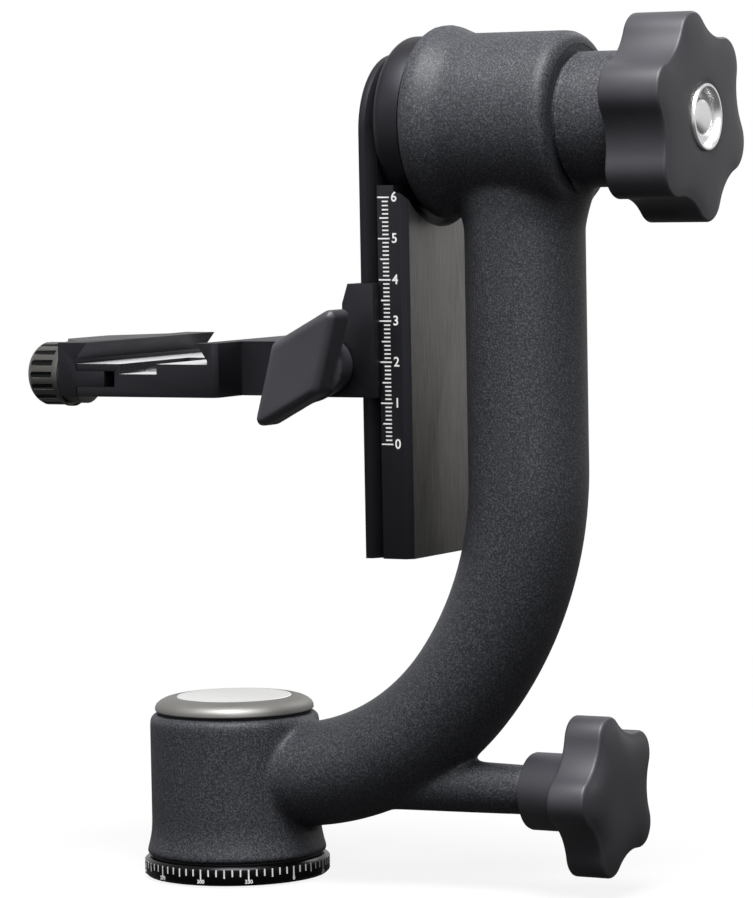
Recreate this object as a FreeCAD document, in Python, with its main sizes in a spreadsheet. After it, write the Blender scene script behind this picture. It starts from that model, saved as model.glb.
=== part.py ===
import FreeCAD, Part
import Sketcher
import math
import os

# A gimbal head for a tripod, for swinging a long lens about its balance point.
# Frame: the origin is the middle of the underside, where the tripod's plate touches.
# +Z is up, +X points from the pan axis towards the lock knobs, and -Y is the wing knob's side.
# Millimetres. Every cell of the sheet is a driving size, and every piece is bound to the cells.

Vector = FreeCAD.Vector
doc = FreeCAD.newDocument("gimbal_head")
sheet = doc.addObject("Spreadsheet::Sheet", "sizes")

SIZES = {
    # fits
    "running_fit": 0.03,
    "slide_fit": 0.3,
    "face_gap": 0.3,
    # graduated base ring
    "ring_overhang": 2.0,
    "ring_height": 4.9,
    "ring_edge": 0.8,
    "ring_floor": 2.6,
    "glide_thickness": 0.4,
    "glide_inset": 0.2,
    "glide_width": 2.7,
    "tripod_thread_radius": 3.97,
    "insert_radius": 6.5,
    "socket_room": 1.5,
    "insert_length": 13.0,
    # pan spindle and its bearings
    "spindle_flange_radius": 17.5,
    "spindle_radius": 8.5,
    "spindle_step_radius": 10.0,
    "spindle_thread_radius": 6.0,
    "bearing_outer_radius": 13.0,
    "bearing_width": 5.0,
    "bearing_lip": 1.5,
    "lower_bearing_base": 7.1,
    "bearing_spacing": 23.6,
    "cavity_radius": 11.5,
    "nut_radius": 9.8,
    "nut_height": 4.5,
    "base_screw_count": 4,
    "base_screw_circle": 12.0,
    "base_screw_radius": 1.5,
    "base_screw_head": 2.8,
    # barrel of the casting round the pan axis
    "barrel_radius": 21.5,
    "barrel_flare": 1.5,
    "barrel_flare_height": 8.0,
    "barrel_flare_curve": 22.0,
    "barrel_top": 41.1,
    "barrel_edge": 1.2,
    "barrel_mouth_radius": 14.2,
    # cap on the barrel
    "cap_inset": 2.0,
    "cap_shoulder": 4.2,
    "cap_height": 3.1,
    "cap_skirt": 1.0,
    "cap_dome_curve": 4.6,
    "cap_spigot_length": 3.0,
    "cap_bore_radius": 9.0,
    "disc_inset": 0.9,
    "disc_thickness": 0.9,
    # curved arm
    "column_reach": 85.0,
    "column_radius": 14.8,
    "root_radius": 13.0,
    "bend_radius": 85.8,
    "root_height": 25.9558,
    "tight_bend_radius": 65.1,
    "tight_bend_angle": 52.0,
    "collar_length": 30.0,
    "collar_spread": 20.5,
    # head of the casting round the tilt axis
    "tilt_height": 189.1,
    "head_overhang": 22.9,
    "head_length": 38.4,
    "head_radius": 21.6,
    "rim_radius": 23.7,
    "rim_edge": 2.2,
    "rim_width": 4.4,
    "rim_slope": 5.0,
    "head_edge": 3.0,
    "neck_radius": 16.4,
    "neck_length": 15.1,
    "neck_groove_width": 1.2,
    "neck_groove_depth": 1.0,
    "left_bearing_depth": 1.9,
    "right_bearing_depth": 12.6,
    # pan lock
    "lock_height": 25.4,
    "boss_radius": 6.1,
    "boss_root_radius": 6.9,
    "boss_edge": 0.8,
    "boss_buried": 5.5,
    "lock_screw_radius": 3.0,
    "brake_radius": 4.5,
    "brake_length": 5.6,
    "pan_knob_radius": 20.4,
    "pan_knob_waist": 15.8,
    "pan_hub_length": 13.1,
    "pan_knob_thickness": 10.0,
    "pan_hub_radius": 10.3,
    "pan_knob_dome": 1.4,
    "pan_knob_lobes": 5,
    "pan_lobe_tip": 6.0,
    "pan_knob_phase": 36.0,
    # tilt shaft, lock knob and their washers
    "shaft_flange_radius": 14.0,
    "shaft_flange_thickness": 3.5,
    "tilt_thread_radius": 5.0,
    "tilt_thread_reach": 13.4,
    "shaft_screw_count": 4,
    "shaft_screw_circle": 10.5,
    "shaft_screw_radius": 1.5,
    "shaft_screw_head": 2.9,
    "thrust_thickness": 2.6,
    "tilt_hub_radius": 14.4,
    "tilt_hub_length": 0.9,
    "tilt_knob_thickness": 16.0,
    "tilt_knob_radius": 25.4,
    "tilt_knob_waist": 21.0,
    "tilt_knob_dome": 1.6,
    "tilt_knob_lobes": 6,
    "tilt_lobe_tip": 7.2,
    "tilt_knob_phase": 41.0,
    "knob_edge": 1.2,
    "knob_bush_radius": 7.5,
    "knob_cup_radius": 8.2,
    "knob_cup_depth": 3.0,
    # swing arm
    "rail_half_width": 19.0,
    "rail_lip": 1.7,
    "rail_groove_width": 3.2,
    "rail_groove_depth": 2.6,
    "swing_arm_depth": 11.8,
    "bar_thickness": 7.8,
    "bar_chamfer": 1.6,
    "bar_length": 90.9,
    "bar_top_drop": 15.0,
    "rail_top_drop": 2.0,
    "rim_clearance_radius": 25.4,
    "disc_flange_radius": 21.2,
    "disc_flange_edge": 2.6,
    "tilt_glide_thickness": 0.6,
    "lip_corner": 2.0,
    # platform with the plate clamp
    "platform_drop": 66.4,
    "platform_thickness": 13.4,
    "platform_half_width": 18.7,
    "clamp_half_length": 31.0,
    "clamp_wall": 5.6,
    "channel_right_lip": 9.7,
    "channel_depth": 5.2,
    "channel_width": 37.9,
    "channel_undercut": 3.0,
    "lip_land": 1.2,
    "tongue_thickness": 4.0,
    "tongue_low": 2.4,
    "tongue_reach": 8.0,
    "tongue_slot_reach": 11.0,
    "relief_width": 10.7,
    "relief_depth": 2.5,
    "relief_length": 33.0,
    "relief_inset": 12.6,
    "block_height": 27.7,
    "block_thickness": 3.3,
    "block_chamfer": 1.6,
    "jaw_wall": 3.0,
    "jaw_reach": 5.2,
    "arm_corner": 1.2,
    # wing knob
    "wing_setback": 7.7,
    "wing_axis_rise": 1.2,
    "wing_stud_radius": 3.0,
    "wing_hub_radius": 5.8,
    "wing_hub_root_radius": 7.4,
    "wing_hub_length": 8.0,
    "wing_thickness": 9.3,
    "wing_width": 16.6,
    "wing_rise": 9.2,
    "wing_side": 20.4,
    "wing_side_lean": 5.3,
    "wing_edge": 1.2,
    "wing_corner": 1.6,
    "dowel_radius": 1.2,
    "dowel_depth": 5.0,
    "dowel_setback": 5.6,
    "dowel_rise": 3.2,
    "jaw_plate_reach": 8.0,
    # clamp jaw and its screw
    "jaw_thickness": 5.5,
    "jaw_bulge": 10.8,
    "jaw_bulge_half": 9.5,
    "jaw_taper_half": 22.0,
    "clamp_screw_radius": 2.25,
    "clamp_screw_rise": 4.0,
    "clamp_screw_reach": 28.2,
    "guide_pin_radius": 2.0,
    "guide_pin_spacing": 18.0,
    "guide_pin_length": 24.0,
    "spring_wire": 0.25,
    "spring_radius": 2.65,
    "spring_turns": 3.0,
    "spring_pocket": 2.0,
    "clamp_knob_radius": 8.4,
    "clamp_knob_length": 15.0,
    "clamp_collar_radius": 7.6,
    "clamp_collar_length": 5.0,
    "clamp_flutes": 16,
    "flute_radius": 1.0,
    "flute_length": 7.0,
    "dome_rise": 2.6,
    "dome_curve": 4.6,
    "dome_inset": 4.4,
}


class Size:
    """A number together with the sheet expression that gives it."""

    def __init__(self, value, text):
        self.value = value
        self.text = text

    def __add__(self, other):
        other = as_size(other)
        return Size(self.value + other.value, f"({self.text} + {other.text})")

    def __sub__(self, other):
        other = as_size(other)
        return Size(self.value - other.value, f"({self.text} - {other.text})")

    def __mul__(self, other):
        other = as_size(other)
        return Size(self.value * other.value, f"({self.text} * {other.text})")

    def __truediv__(self, other):
        other = as_size(other)
        return Size(self.value / other.value, f"({self.text} / {other.text})")

    def __neg__(self):
        return Size(-self.value, f"(0 - {self.text})")

    __radd__ = __add__

    def sin(self):
        return Size(math.sin(math.radians(self.value)), f"sin({self.text})")

    def cos(self):
        return Size(math.cos(math.radians(self.value)), f"cos({self.text})")


def as_size(item):
    return item if isinstance(item, Size) else Size(float(item), f"{float(item):.6f}")


class Sizes:
    """Each cell of the sheet under its own name."""


d = Sizes()
for row, (alias, number) in enumerate(SIZES.items(), start=1):
    sheet.set(f"A{row}", alias)
    sheet.set(f"B{row}", str(number))
    sheet.setAlias(f"B{row}", alias)
    setattr(d, alias, Size(float(number), f"sizes.{alias}"))
doc.recompute()

# Places that several pieces share.
d.ring_radius = d.barrel_radius + d.ring_overhang
d.glide_outer_radius = d.barrel_radius - d.glide_inset
d.glide_inner_radius = d.glide_outer_radius - d.glide_width
d.cap_radius = d.barrel_radius - d.cap_inset
d.cap_flat_radius = d.cap_radius - d.cap_shoulder
d.disc_radius = d.cap_flat_radius - d.disc_inset
d.casting_bottom = d.ring_height + d.glide_thickness
d.upper_bearing_base = d.lower_bearing_base + d.bearing_spacing
d.nut_base = d.upper_bearing_base + d.bearing_width
d.cap_top = d.barrel_top + d.cap_height
d.bend_centre = d.column_reach - d.bend_radius
d.root_reach = d.bend_centre + (d.bend_radius - d.tight_bend_radius) * d.tight_bend_angle.sin()
bend_rise = (d.bend_radius - d.tight_bend_radius) * d.tight_bend_angle.cos()
d.bend_height = d.root_height + bend_rise + d.tight_bend_radius
d.head_start = d.column_reach - d.head_overhang
d.head_end = d.head_start + d.head_length
d.neck_end = d.head_end + d.neck_length
d.left_bearing_start = d.head_start + d.left_bearing_depth
d.right_bearing_start = d.neck_end - d.right_bearing_depth
d.boss_end = d.column_reach
d.pan_knob_start = d.boss_end + d.face_gap + d.pan_hub_length
d.tilt_knob_start = d.neck_end + d.face_gap + d.tilt_hub_length
d.tilt_thread_end = d.neck_end + d.tilt_thread_reach
d.disc_flange_face = d.head_start - d.tilt_glide_thickness
d.rail_start = d.disc_flange_face - d.swing_arm_depth
d.rail_end = d.rail_start + d.rail_lip + d.rail_groove_width
d.bar_face = d.rail_end + d.bar_thickness
d.rail_top = d.tilt_height - d.rail_top_drop
d.bar_top = d.tilt_height - d.bar_top_drop
d.bar_bottom = d.bar_top - d.bar_length
d.platform_low = d.tilt_height - d.platform_drop
d.platform_top = d.platform_low + d.platform_thickness
d.platform_middle = d.platform_low + d.platform_thickness / 2
d.channel_floor = d.platform_top - d.channel_depth
d.floor_right = d.channel_right_lip + d.channel_undercut
d.floor_left = d.floor_right - d.channel_width
d.clamp_right = d.channel_right_lip + d.clamp_wall
d.relief_left = d.floor_left + d.relief_inset
d.jaw_left = d.floor_left - d.jaw_thickness
d.tongue_base = d.platform_low + d.tongue_low
d.block_end = d.rail_start - d.slide_fit
d.block_start = d.block_end - d.block_thickness
d.tilt_knob_face = d.tilt_knob_start + d.tilt_knob_thickness + d.tilt_knob_dome
d.clamp_knob_end = d.jaw_left - d.jaw_bulge - d.slide_fit
d.clamp_screw_height = d.platform_low + d.clamp_screw_rise
d.dowel_end = d.dowel_depth - d.platform_half_width
d.screw_end = d.floor_left + d.clamp_screw_reach
d.pin_height = d.tongue_base + d.tongue_thickness / 2
d.wing_height = d.platform_middle + d.wing_axis_rise
d.wing_axis_reach = d.rail_start - d.wing_setback


# ---------------------------------------------------------------- drawing helpers

def bind(item, path, size):
    """Set one property and tie it to the sheet."""
    if isinstance(size, Size):
        item.setExpression(path, size.text)


def new_body(label):
    body = doc.addObject("PartDesign::Body", label)
    body.Label = label
    return body


def origin_plane(body, role):
    return [item for item in body.Origin.OriginFeatures if item.Role == role][0]


def new_sketch(body, role, shift=(0, 0, 0)):
    """A sketch on one of the body's own origin planes, moved by shift along the sketch's own axes."""
    sketch = body.newObject("Sketcher::SketchObject", "sketch")
    sketch.AttachmentSupport = (origin_plane(body, role), [""])
    sketch.MapMode = "FlatFace"
    shift = [as_size(step) for step in shift]
    sketch.AttachmentOffset = FreeCAD.Placement(Vector(*[step.value for step in shift]), FreeCAD.Rotation())
    for letter, step in zip("xyz", shift):
        if step.value:
            bind(sketch, f"AttachmentOffset.Base.{letter}", step)
    return sketch


def place_point(sketch, geometry, end, point):
    """Fix one end of a sketch line or arc at a point of the sheet's sizes."""
    for kind, size in zip(("DistanceX", "DistanceY"), point):
        index = sketch.addConstraint(Sketcher.Constraint(kind, -1, 1, geometry, end, size.value))
        bind(sketch, f"Constraints[{index}]", size)


def add_arc(sketch, start, stop, radius):
    """An arc from start to stop; a positive radius has its centre to the left of the way along."""
    across, up = stop[0].value - start[0].value, stop[1].value - start[1].value
    chord = math.hypot(across, up)
    reach = math.sqrt(max(radius.value ** 2 - (chord / 2) ** 2, 0.0))
    side = 1 if radius.value > 0 else -1
    centre_x = (start[0].value + stop[0].value) / 2 - up / chord * reach * side
    centre_y = (start[1].value + stop[1].value) / 2 + across / chord * reach * side
    first, last = (start, stop) if side > 0 else (stop, start)
    begin = math.atan2(first[1].value - centre_y, first[0].value - centre_x)
    finish = math.atan2(last[1].value - centre_y, last[0].value - centre_x)
    if finish < begin:
        finish += 2 * math.pi
    circle = Part.Circle(Vector(centre_x, centre_y, 0), Vector(0, 0, 1), abs(radius.value))
    index = sketch.addGeometry(Part.ArcOfCircle(circle, begin, finish), False)
    limit = sketch.addConstraint(Sketcher.Constraint("Radius", index, abs(radius.value)))
    bind(sketch, f"Constraints[{limit}]", radius if side > 0 else -radius)
    return index, (1, 2) if side > 0 else (2, 1)


def draw_outline(body, role, points, shift=(0, 0, 0), closed=True):
    """An outline through the points. A third value on a point bends the run that leaves it."""
    sketch = new_sketch(body, role, shift)
    corners = [(as_size(point[0]), as_size(point[1])) for point in points]
    runs = len(points) if closed else len(points) - 1
    ends = []
    for number in range(runs):
        start, stop = corners[number], corners[(number + 1) % len(points)]
        if len(points[number]) > 2:
            ends.append(add_arc(sketch, start, stop, as_size(points[number][2])))
            continue
        first, last = (Vector(corner[0].value, corner[1].value, 0) for corner in (start, stop))
        ends.append((sketch.addGeometry(Part.LineSegment(first, last), False), (1, 2)))
    for number, (geometry, (first, last)) in enumerate(ends):
        place_point(sketch, geometry, first, corners[number])
        if not closed and number == runs - 1:
            place_point(sketch, geometry, last, corners[-1])
            continue
        following, (next_first, _) = ends[(number + 1) % runs]
        sketch.addConstraint(Sketcher.Constraint("Coincident", geometry, last, following, next_first))
    return sketch


def draw_circle(body, role, centre, radius, shift=(0, 0, 0)):
    sketch = new_sketch(body, role, shift)
    centre = (as_size(centre[0]), as_size(centre[1]))
    middle = Vector(centre[0].value, centre[1].value, 0)
    index = sketch.addGeometry(Part.Circle(middle, Vector(0, 0, 1), radius.value), False)
    place_point(sketch, index, 3, centre)
    limit = sketch.addConstraint(Sketcher.Constraint("Radius", index, radius.value))
    bind(sketch, f"Constraints[{limit}]", radius)
    return sketch


def draw_ellipse(body, role, centre, half_across, half_up, shift=(0, 0, 0)):
    """An ellipse that is longer across than up."""
    sketch = new_sketch(body, role, shift)
    middle = Vector(centre[0].value, centre[1].value, 0)
    side = middle + Vector(half_across.value, 0, 0)
    top = middle + Vector(0, half_up.value, 0)
    index = sketch.addGeometry(Part.Ellipse(side, top, middle), False)
    sketch.exposeInternalGeometry(index)
    place_point(sketch, index, 3, centre)
    place_point(sketch, index + 1, 1, (centre[0] + half_across, centre[1]))
    length = sketch.addConstraint(Sketcher.Constraint("Distance", index + 2, 2 * half_up.value))
    bind(sketch, f"Constraints[{length}]", half_up * 2)
    return sketch


def extrude(body, sketch, length, cut=False, reversed_way=False, middle=False):
    kind = "PartDesign::Pocket" if cut else "PartDesign::Pad"
    feature = body.newObject(kind, "pocket" if cut else "pad")
    feature.Profile = sketch
    feature.Length = as_size(length).value
    bind(feature, "Length", length)
    feature.Reversed = reversed_way
    if middle:
        feature.SideType = "Symmetric"
    return finish_feature(body, feature, cut)


def finish_feature(body, feature, cut):
    """Recompute, and stop if a cut took nothing away."""
    doc.recompute()
    if cut:
        before = feature.BaseFeature.Shape.Volume
        if not feature.Shape.Volume < before:
            raise ValueError(f"{body.Label}: {feature.Name} cuts nothing")
    return feature


def turn(body, axis, points, cut=False, height=0, across=0):
    """Turn an outline about an axis.

    About Z the points are (radius, height); about X they are (reach, radius) and about Y
    (depth, radius), with the axis at the given height and, for Y, at the given reach.
    """
    if axis == "Z":
        sketch, line = draw_outline(body, "XZ_Plane", points, (across, 0, 0)), "V_Axis"
    elif axis == "X":
        sketch, line = draw_outline(body, "XZ_Plane", points, (0, height, 0)), "H_Axis"
    else:
        sketch, line = draw_outline(body, "YZ_Plane", points, (0, height, across)), "H_Axis"
    feature = body.newObject("PartDesign::Groove" if cut else "PartDesign::Revolution", "turned")
    feature.Profile = sketch
    feature.ReferenceAxis = (sketch, [line])
    feature.Angle = 360
    return finish_feature(body, feature, cut)


def repeat_round(body, feature, sketch, count, line):
    """Copy a feature round a line of a sketch, evenly."""
    pattern = body.newObject("PartDesign::PolarPattern", "pattern")
    pattern.Originals = [feature]
    pattern.Axis = (sketch, [line])
    pattern.Angle = 360
    pattern.Occurrences = int(count.value)
    bind(pattern, "Occurrences", count)
    body.Tip = pattern
    doc.recompute()
    return pattern


def edges_where(shape, test):
    return [f"Edge{number}" for number, edge in enumerate(shape.Edges, start=1) if test(edge)]


def soften(body, feature, names, size, kind="PartDesign::Fillet"):
    """Round or chamfer the named edges of the last feature."""
    edge = body.newObject(kind, "softened")
    edge.Base = (feature, names)
    path = "Radius" if kind.endswith("Fillet") else "Size"
    setattr(edge, path, size.value)
    bind(edge, path, size)
    doc.recompute()
    return edge


def ring(label, axis, inner, outer, low, high, edge=0.3, height=0, across=0):
    """A plain ring with its four corners broken."""
    body = new_body(label)
    if axis == "Z":
        points = [(inner, low + edge), (inner + edge, low), (outer - edge, low), (outer, low + edge),
                  (outer, high - edge), (outer - edge, high), (inner + edge, high), (inner, high - edge)]
    else:
        points = [(low + edge, inner), (low, inner + edge), (low, outer - edge), (low + edge, outer),
                  (high - edge, outer), (high, outer - edge), (high, inner + edge), (high - edge, inner)]
    turn(body, axis, points, height=height, across=across)
    return body


def rod(label, axis, radius, low, high, edge=0.4, height=0, across=0):
    """A plain round bar with chamfered ends."""
    body = new_body(label)
    if axis == "Z":
        points = [(0, low), (radius - edge, low), (radius, low + edge),
                  (radius, high - edge), (radius - edge, high), (0, high)]
    else:
        points = [(low, 0), (low, radius - edge), (low + edge, radius),
                  (high - edge, radius), (high, radius - edge), (high, 0)]
    turn(body, axis, points, height=height, across=across)
    return body


# ---------------------------------------------------------------- base and pan spindle

def base_ring():
    """The fixed ring that the tripod's plate bears on, with a well for the spindle's flange."""
    body = new_body("base_ring")
    well = d.spindle_flange_radius + d.running_fit
    turn(body, "Z", [
        (d.insert_radius, 0), (d.ring_radius - d.ring_edge, 0), (d.ring_radius, d.ring_edge),
        (d.ring_radius, d.ring_height - d.ring_edge), (d.ring_radius - d.ring_edge, d.ring_height),
        (well, d.ring_height), (well, d.ring_floor), (d.insert_radius, d.ring_floor)])
    hole = turn(body, "Z", [
        (0, 0), (d.base_screw_head, 0), (d.base_screw_radius, d.base_screw_head - d.base_screw_radius),
        (d.base_screw_radius, d.ring_floor), (0, d.ring_floor)], cut=True, across=d.base_screw_circle)
    centre = new_sketch(body, "XZ_Plane")
    repeat_round(body, hole, centre, d.base_screw_count, "V_Axis")


def base_screws():
    """Countersunk screws from the underside into the spindle's flange."""
    body = new_body("base_screws")
    sunk = 0.2
    tip = d.ring_height - 0.4
    screw = turn(body, "Z", [
        (0, sunk), (d.base_screw_head - sunk - 0.1, sunk),
        (d.base_screw_radius - 0.1, d.base_screw_head - d.base_screw_radius),
        (d.base_screw_radius - 0.1, tip), (0, tip)], across=d.base_screw_circle)
    centre = new_sketch(body, "XZ_Plane")
    repeat_round(body, screw, centre, d.base_screw_count, "V_Axis")


def thread_insert():
    """Steel bush with the tripod's three-eighths inch thread, up through ring and spindle."""
    body = new_body("thread_insert")
    turn(body, "Z", [
        (d.tripod_thread_radius, 0), (d.insert_radius, 0), (d.insert_radius, d.insert_length),
        (d.tripod_thread_radius, d.insert_length)])


def pan_spindle():
    """The fixed post that the whole head turns about."""
    body = new_body("pan_spindle")
    thread_top = d.nut_base + d.nut_height + 0.6
    bore = d.insert_radius
    screw_room = d.base_screw_radius
    turn(body, "Z", [
        (bore, d.ring_floor), (d.spindle_flange_radius, d.ring_floor),
        (d.spindle_flange_radius, d.ring_height), (d.spindle_step_radius, d.ring_height),
        (d.spindle_step_radius, d.lower_bearing_base), (d.spindle_radius, d.lower_bearing_base),
        (d.spindle_radius, d.nut_base), (d.spindle_thread_radius, d.nut_base),
        (d.spindle_thread_radius, thread_top), (0, thread_top),
        (0, d.insert_length + d.socket_room), (bore, d.insert_length + d.socket_room)])
    hole = turn(body, "Z", [
        (0, d.ring_floor), (screw_room, d.ring_floor), (screw_room, d.ring_height), (0, d.ring_height)],
        cut=True, across=d.base_screw_circle)
    centre = new_sketch(body, "XZ_Plane")
    repeat_round(body, hole, centre, d.base_screw_count, "V_Axis")


def sealed_bearing(label, axis, start, height=0):
    """A thin sealed ball bearing: two races with a sunk shield between them on each side."""
    body = new_body(label)
    sunk = 0.4
    end = start + d.bearing_width
    inner, outer = d.spindle_radius + d.running_fit, d.bearing_outer_radius
    races = [(start, inner), (start, inner + d.bearing_lip), (start + sunk, inner + d.bearing_lip),
             (start + sunk, outer - d.bearing_lip), (start, outer - d.bearing_lip), (start, outer),
             (end, outer), (end, outer - d.bearing_lip), (end - sunk, outer - d.bearing_lip),
             (end - sunk, inner + d.bearing_lip), (end, inner + d.bearing_lip), (end, inner)]
    if axis == "Z":
        races = [(radius, place) for place, radius in races]
    turn(body, axis, races, height=height)


def spindle_nut():
    ring("spindle_nut", "Z", d.spindle_thread_radius, d.nut_radius, d.nut_base, d.nut_base + d.nut_height)


def pan_glide_washer():
    """Thin plastic washer that fills the dark line between ring and casting."""
    ring("pan_glide_washer", "Z", d.glide_inner_radius, d.glide_outer_radius,
         d.ring_height, d.casting_bottom, edge=0.1)


# ---------------------------------------------------------------- casting

def casting_barrel(body):
    """Upright barrel round the pan axis, flared at the foot and rounded at the shoulder."""
    foot = d.barrel_radius + d.barrel_flare
    waist = d.casting_bottom + d.barrel_flare_height
    turn(body, "Z", [
        (0, d.casting_bottom), (foot - 0.6, d.casting_bottom),
        (foot, d.casting_bottom + 0.6, -d.barrel_flare_curve),
        (d.barrel_radius, waist), (d.barrel_radius, d.barrel_top - d.barrel_edge),
        (d.barrel_radius - d.barrel_edge, d.barrel_top), (0, d.barrel_top)])


def casting_bend(body):
    """The long bend from the column to the barrel: its curve tightens and it thins on the way down."""
    sine, cosine = d.tight_bend_angle.sin(), d.tight_bend_angle.cos()
    turn_x = d.bend_centre + d.bend_radius * sine
    turn_z = d.bend_height - d.bend_radius * cosine
    path = draw_outline(body, "XZ_Plane", [
        (d.root_reach, d.root_height, d.tight_bend_radius), (turn_x, turn_z, d.bend_radius),
        (d.column_reach, d.bend_height)], closed=False)
    wide = draw_circle(body, "XY_Plane", (d.column_reach, 0), d.column_radius, (0, 0, d.bend_height))
    narrow = draw_circle(body, "YZ_Plane", (0, d.root_height), d.root_radius, (0, 0, d.root_reach))
    pipe = body.newObject("PartDesign::AdditivePipe", "bend")
    pipe.Profile = wide
    pipe.Spine = (path, ["Edge2", "Edge1"])
    pipe.Transformation = "Multisection"
    pipe.Sections = [(narrow, [""])]
    doc.recompute()
    turn(body, "X", [
        (0, 0), (0, d.root_radius), (d.root_reach, d.root_radius), (d.root_reach, 0)], height=d.root_height)


def casting_column(body):
    """Straight column, with a collar that spreads under the head like a poured fillet."""
    column = draw_circle(body, "XY_Plane", (d.column_reach, 0), d.column_radius, (0, 0, d.bend_height))
    extrude(body, column, d.tilt_height - d.bend_height)
    low = d.tilt_height - d.collar_length
    middle = d.tilt_height - d.collar_length * 0.72
    top = d.tilt_height - d.collar_length * 0.4
    first = draw_ellipse(body, "XY_Plane", (d.column_reach, as_size(0)),
                         d.column_radius - 0.5, d.column_radius - 0.8, (0, 0, low))
    second = draw_ellipse(body, "XY_Plane", (d.column_reach, as_size(0)),
                          d.column_radius + (d.collar_spread - d.column_radius) * 0.22,
                          d.column_radius + 0.05, (0, 0, middle))
    third = draw_ellipse(body, "XY_Plane", (d.column_reach, as_size(0)),
                         d.collar_spread, d.column_radius + 0.6, (0, 0, top))
    loft = body.newObject("PartDesign::AdditiveLoft", "collar")
    loft.Profile = first
    loft.Sections = [second, third]
    doc.recompute()


def casting_head(body):
    """Level barrel round the tilt axis, with a rounded rim, a turned groove and a neck."""
    rim_end = d.head_start + d.rim_width
    groove = d.neck_radius - d.neck_groove_depth
    groove_end = d.head_end + d.neck_groove_width
    turn(body, "X", [
        (d.head_start, 0), (d.head_start, d.rim_radius - d.rim_edge, -d.rim_edge),
        (d.head_start + d.rim_edge, d.rim_radius), (rim_end, d.rim_radius),
        (rim_end + d.rim_slope, d.head_radius), (d.head_end - d.head_edge, d.head_radius, -d.head_edge),
        (d.head_end, d.head_radius - d.head_edge), (d.head_end, groove), (groove_end, groove),
        (groove_end, d.neck_radius - 0.4), (groove_end + 0.4, d.neck_radius),
        (d.neck_end - 0.6, d.neck_radius), (d.neck_end, d.neck_radius - 0.6), (d.neck_end, 0)],
        height=d.tilt_height)


def casting_boss(body):
    """Boss for the pan lock's screw, level with the middle of the spindle."""
    start = d.barrel_radius - d.boss_buried
    turn(body, "X", [
        (start, 0), (start, d.boss_root_radius), (d.column_reach * 0.5, d.boss_root_radius),
        (d.boss_end - d.boss_edge, d.boss_radius), (d.boss_end, d.boss_radius - d.boss_edge),
        (d.boss_end, 0)], height=d.lock_height)


def bore_casting(body):
    """Seats for the bearings on both axes, and the way in for the brake pad and its screw."""
    seat, cavity = d.bearing_outer_radius, d.cavity_radius
    low_end = d.lower_bearing_base + d.bearing_width
    cap_seat = d.barrel_top - d.cap_spigot_length - 0.2
    turn(body, "Z", [
        (0, d.casting_bottom), (seat, d.casting_bottom), (seat, low_end), (cavity, low_end),
        (cavity, d.upper_bearing_base), (seat, d.upper_bearing_base), (seat, cap_seat),
        (d.barrel_mouth_radius, cap_seat), (d.barrel_mouth_radius, d.barrel_top), (0, d.barrel_top)],
        cut=True)
    left_end = d.left_bearing_start + d.bearing_width
    turn(body, "X", [
        (d.head_start, 0), (d.head_start, seat), (left_end, seat), (left_end, cavity),
        (d.right_bearing_start, cavity), (d.right_bearing_start, seat), (d.neck_end, seat),
        (d.neck_end, 0)], cut=True, height=d.tilt_height)
    pad_end = d.cavity_radius + d.brake_length
    turn(body, "X", [
        (d.spindle_radius, 0), (d.spindle_radius, d.brake_radius + d.running_fit),
        (pad_end, d.brake_radius + d.running_fit), (pad_end, d.lock_screw_radius + d.running_fit),
        (d.boss_end, d.lock_screw_radius + d.running_fit), (d.boss_end, 0)], cut=True, height=d.lock_height)


def main_arm():
    """The one-piece casting: barrel, bend, column and head, bored for both axes."""
    body = new_body("main_arm")
    casting_barrel(body)
    casting_bend(body)
    casting_column(body)
    casting_head(body)
    casting_boss(body)
    bore_casting(body)


def base_cap():
    """Domed metal cap pressed into the barrel's mouth, with a shallow seat for the bright disc."""
    body = new_body("base_cap")
    bottom = d.barrel_top - d.cap_spigot_length
    turn(body, "Z", [
        (d.cap_bore_radius + 2.0, bottom), (d.barrel_mouth_radius, bottom),
        (d.barrel_mouth_radius, d.barrel_top),
        (d.cap_radius - 0.4, d.barrel_top), (d.cap_radius, d.barrel_top + 0.4),
        (d.cap_radius, d.barrel_top + d.cap_skirt, d.cap_dome_curve), (d.cap_flat_radius, d.cap_top),
        (d.disc_radius + 0.05, d.cap_top), (d.disc_radius + 0.05, d.cap_top - d.disc_thickness),
        (d.cap_bore_radius + 2.0, d.cap_top - d.disc_thickness)])


def cap_disc():
    """Bright flat disc let into the cap."""
    rod("cap_disc", "Z", d.disc_radius, d.cap_top - d.disc_thickness, d.cap_top + 0.05, edge=0.15)


# ---------------------------------------------------------------- pan lock

def pan_brake_pad():
    """Nylon pad that the lock screw presses against the spindle."""
    rod("pan_brake_pad", "X", d.brake_radius, d.spindle_radius + d.face_gap,
        d.spindle_radius + d.brake_length, height=d.lock_height)


def pan_lock_screw():
    """Steel screw moulded into the pan lock knob."""
    rod("pan_lock_screw", "X", d.lock_screw_radius, d.spindle_radius + d.brake_length + 0.2,
        d.pan_knob_start + d.pan_knob_thickness - 2.0, height=d.lock_height)


def lobe_points(radius, waist, tip, lobes, phase):
    """Corner points of a lobed outline: a tip arc on each lobe and a tangent hollow arc between."""
    half_step = 180.0 / lobes.value
    reach = radius - tip
    lean = reach * math.cos(math.radians(half_step))
    hollow = (tip * tip - reach * reach - waist * waist + lean * waist * 2) / ((waist - lean - tip) * 2)
    share = tip / (tip + hollow)
    points = []
    for number in range(int(lobes.value)):
        middle = phase + 2 * half_step * number
        tip_y, tip_z = reach * middle.cos(), reach * middle.sin()
        ends = []
        for side in (-1, 1):
            valley = middle + half_step * side
            valley_y, valley_z = (waist + hollow) * valley.cos(), (waist + hollow) * valley.sin()
            ends.append((tip_y + (valley_y - tip_y) * share, tip_z + (valley_z - tip_z) * share))
        points += [(*ends[0], tip), (*ends[1], -hollow)]
    return points


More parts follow.
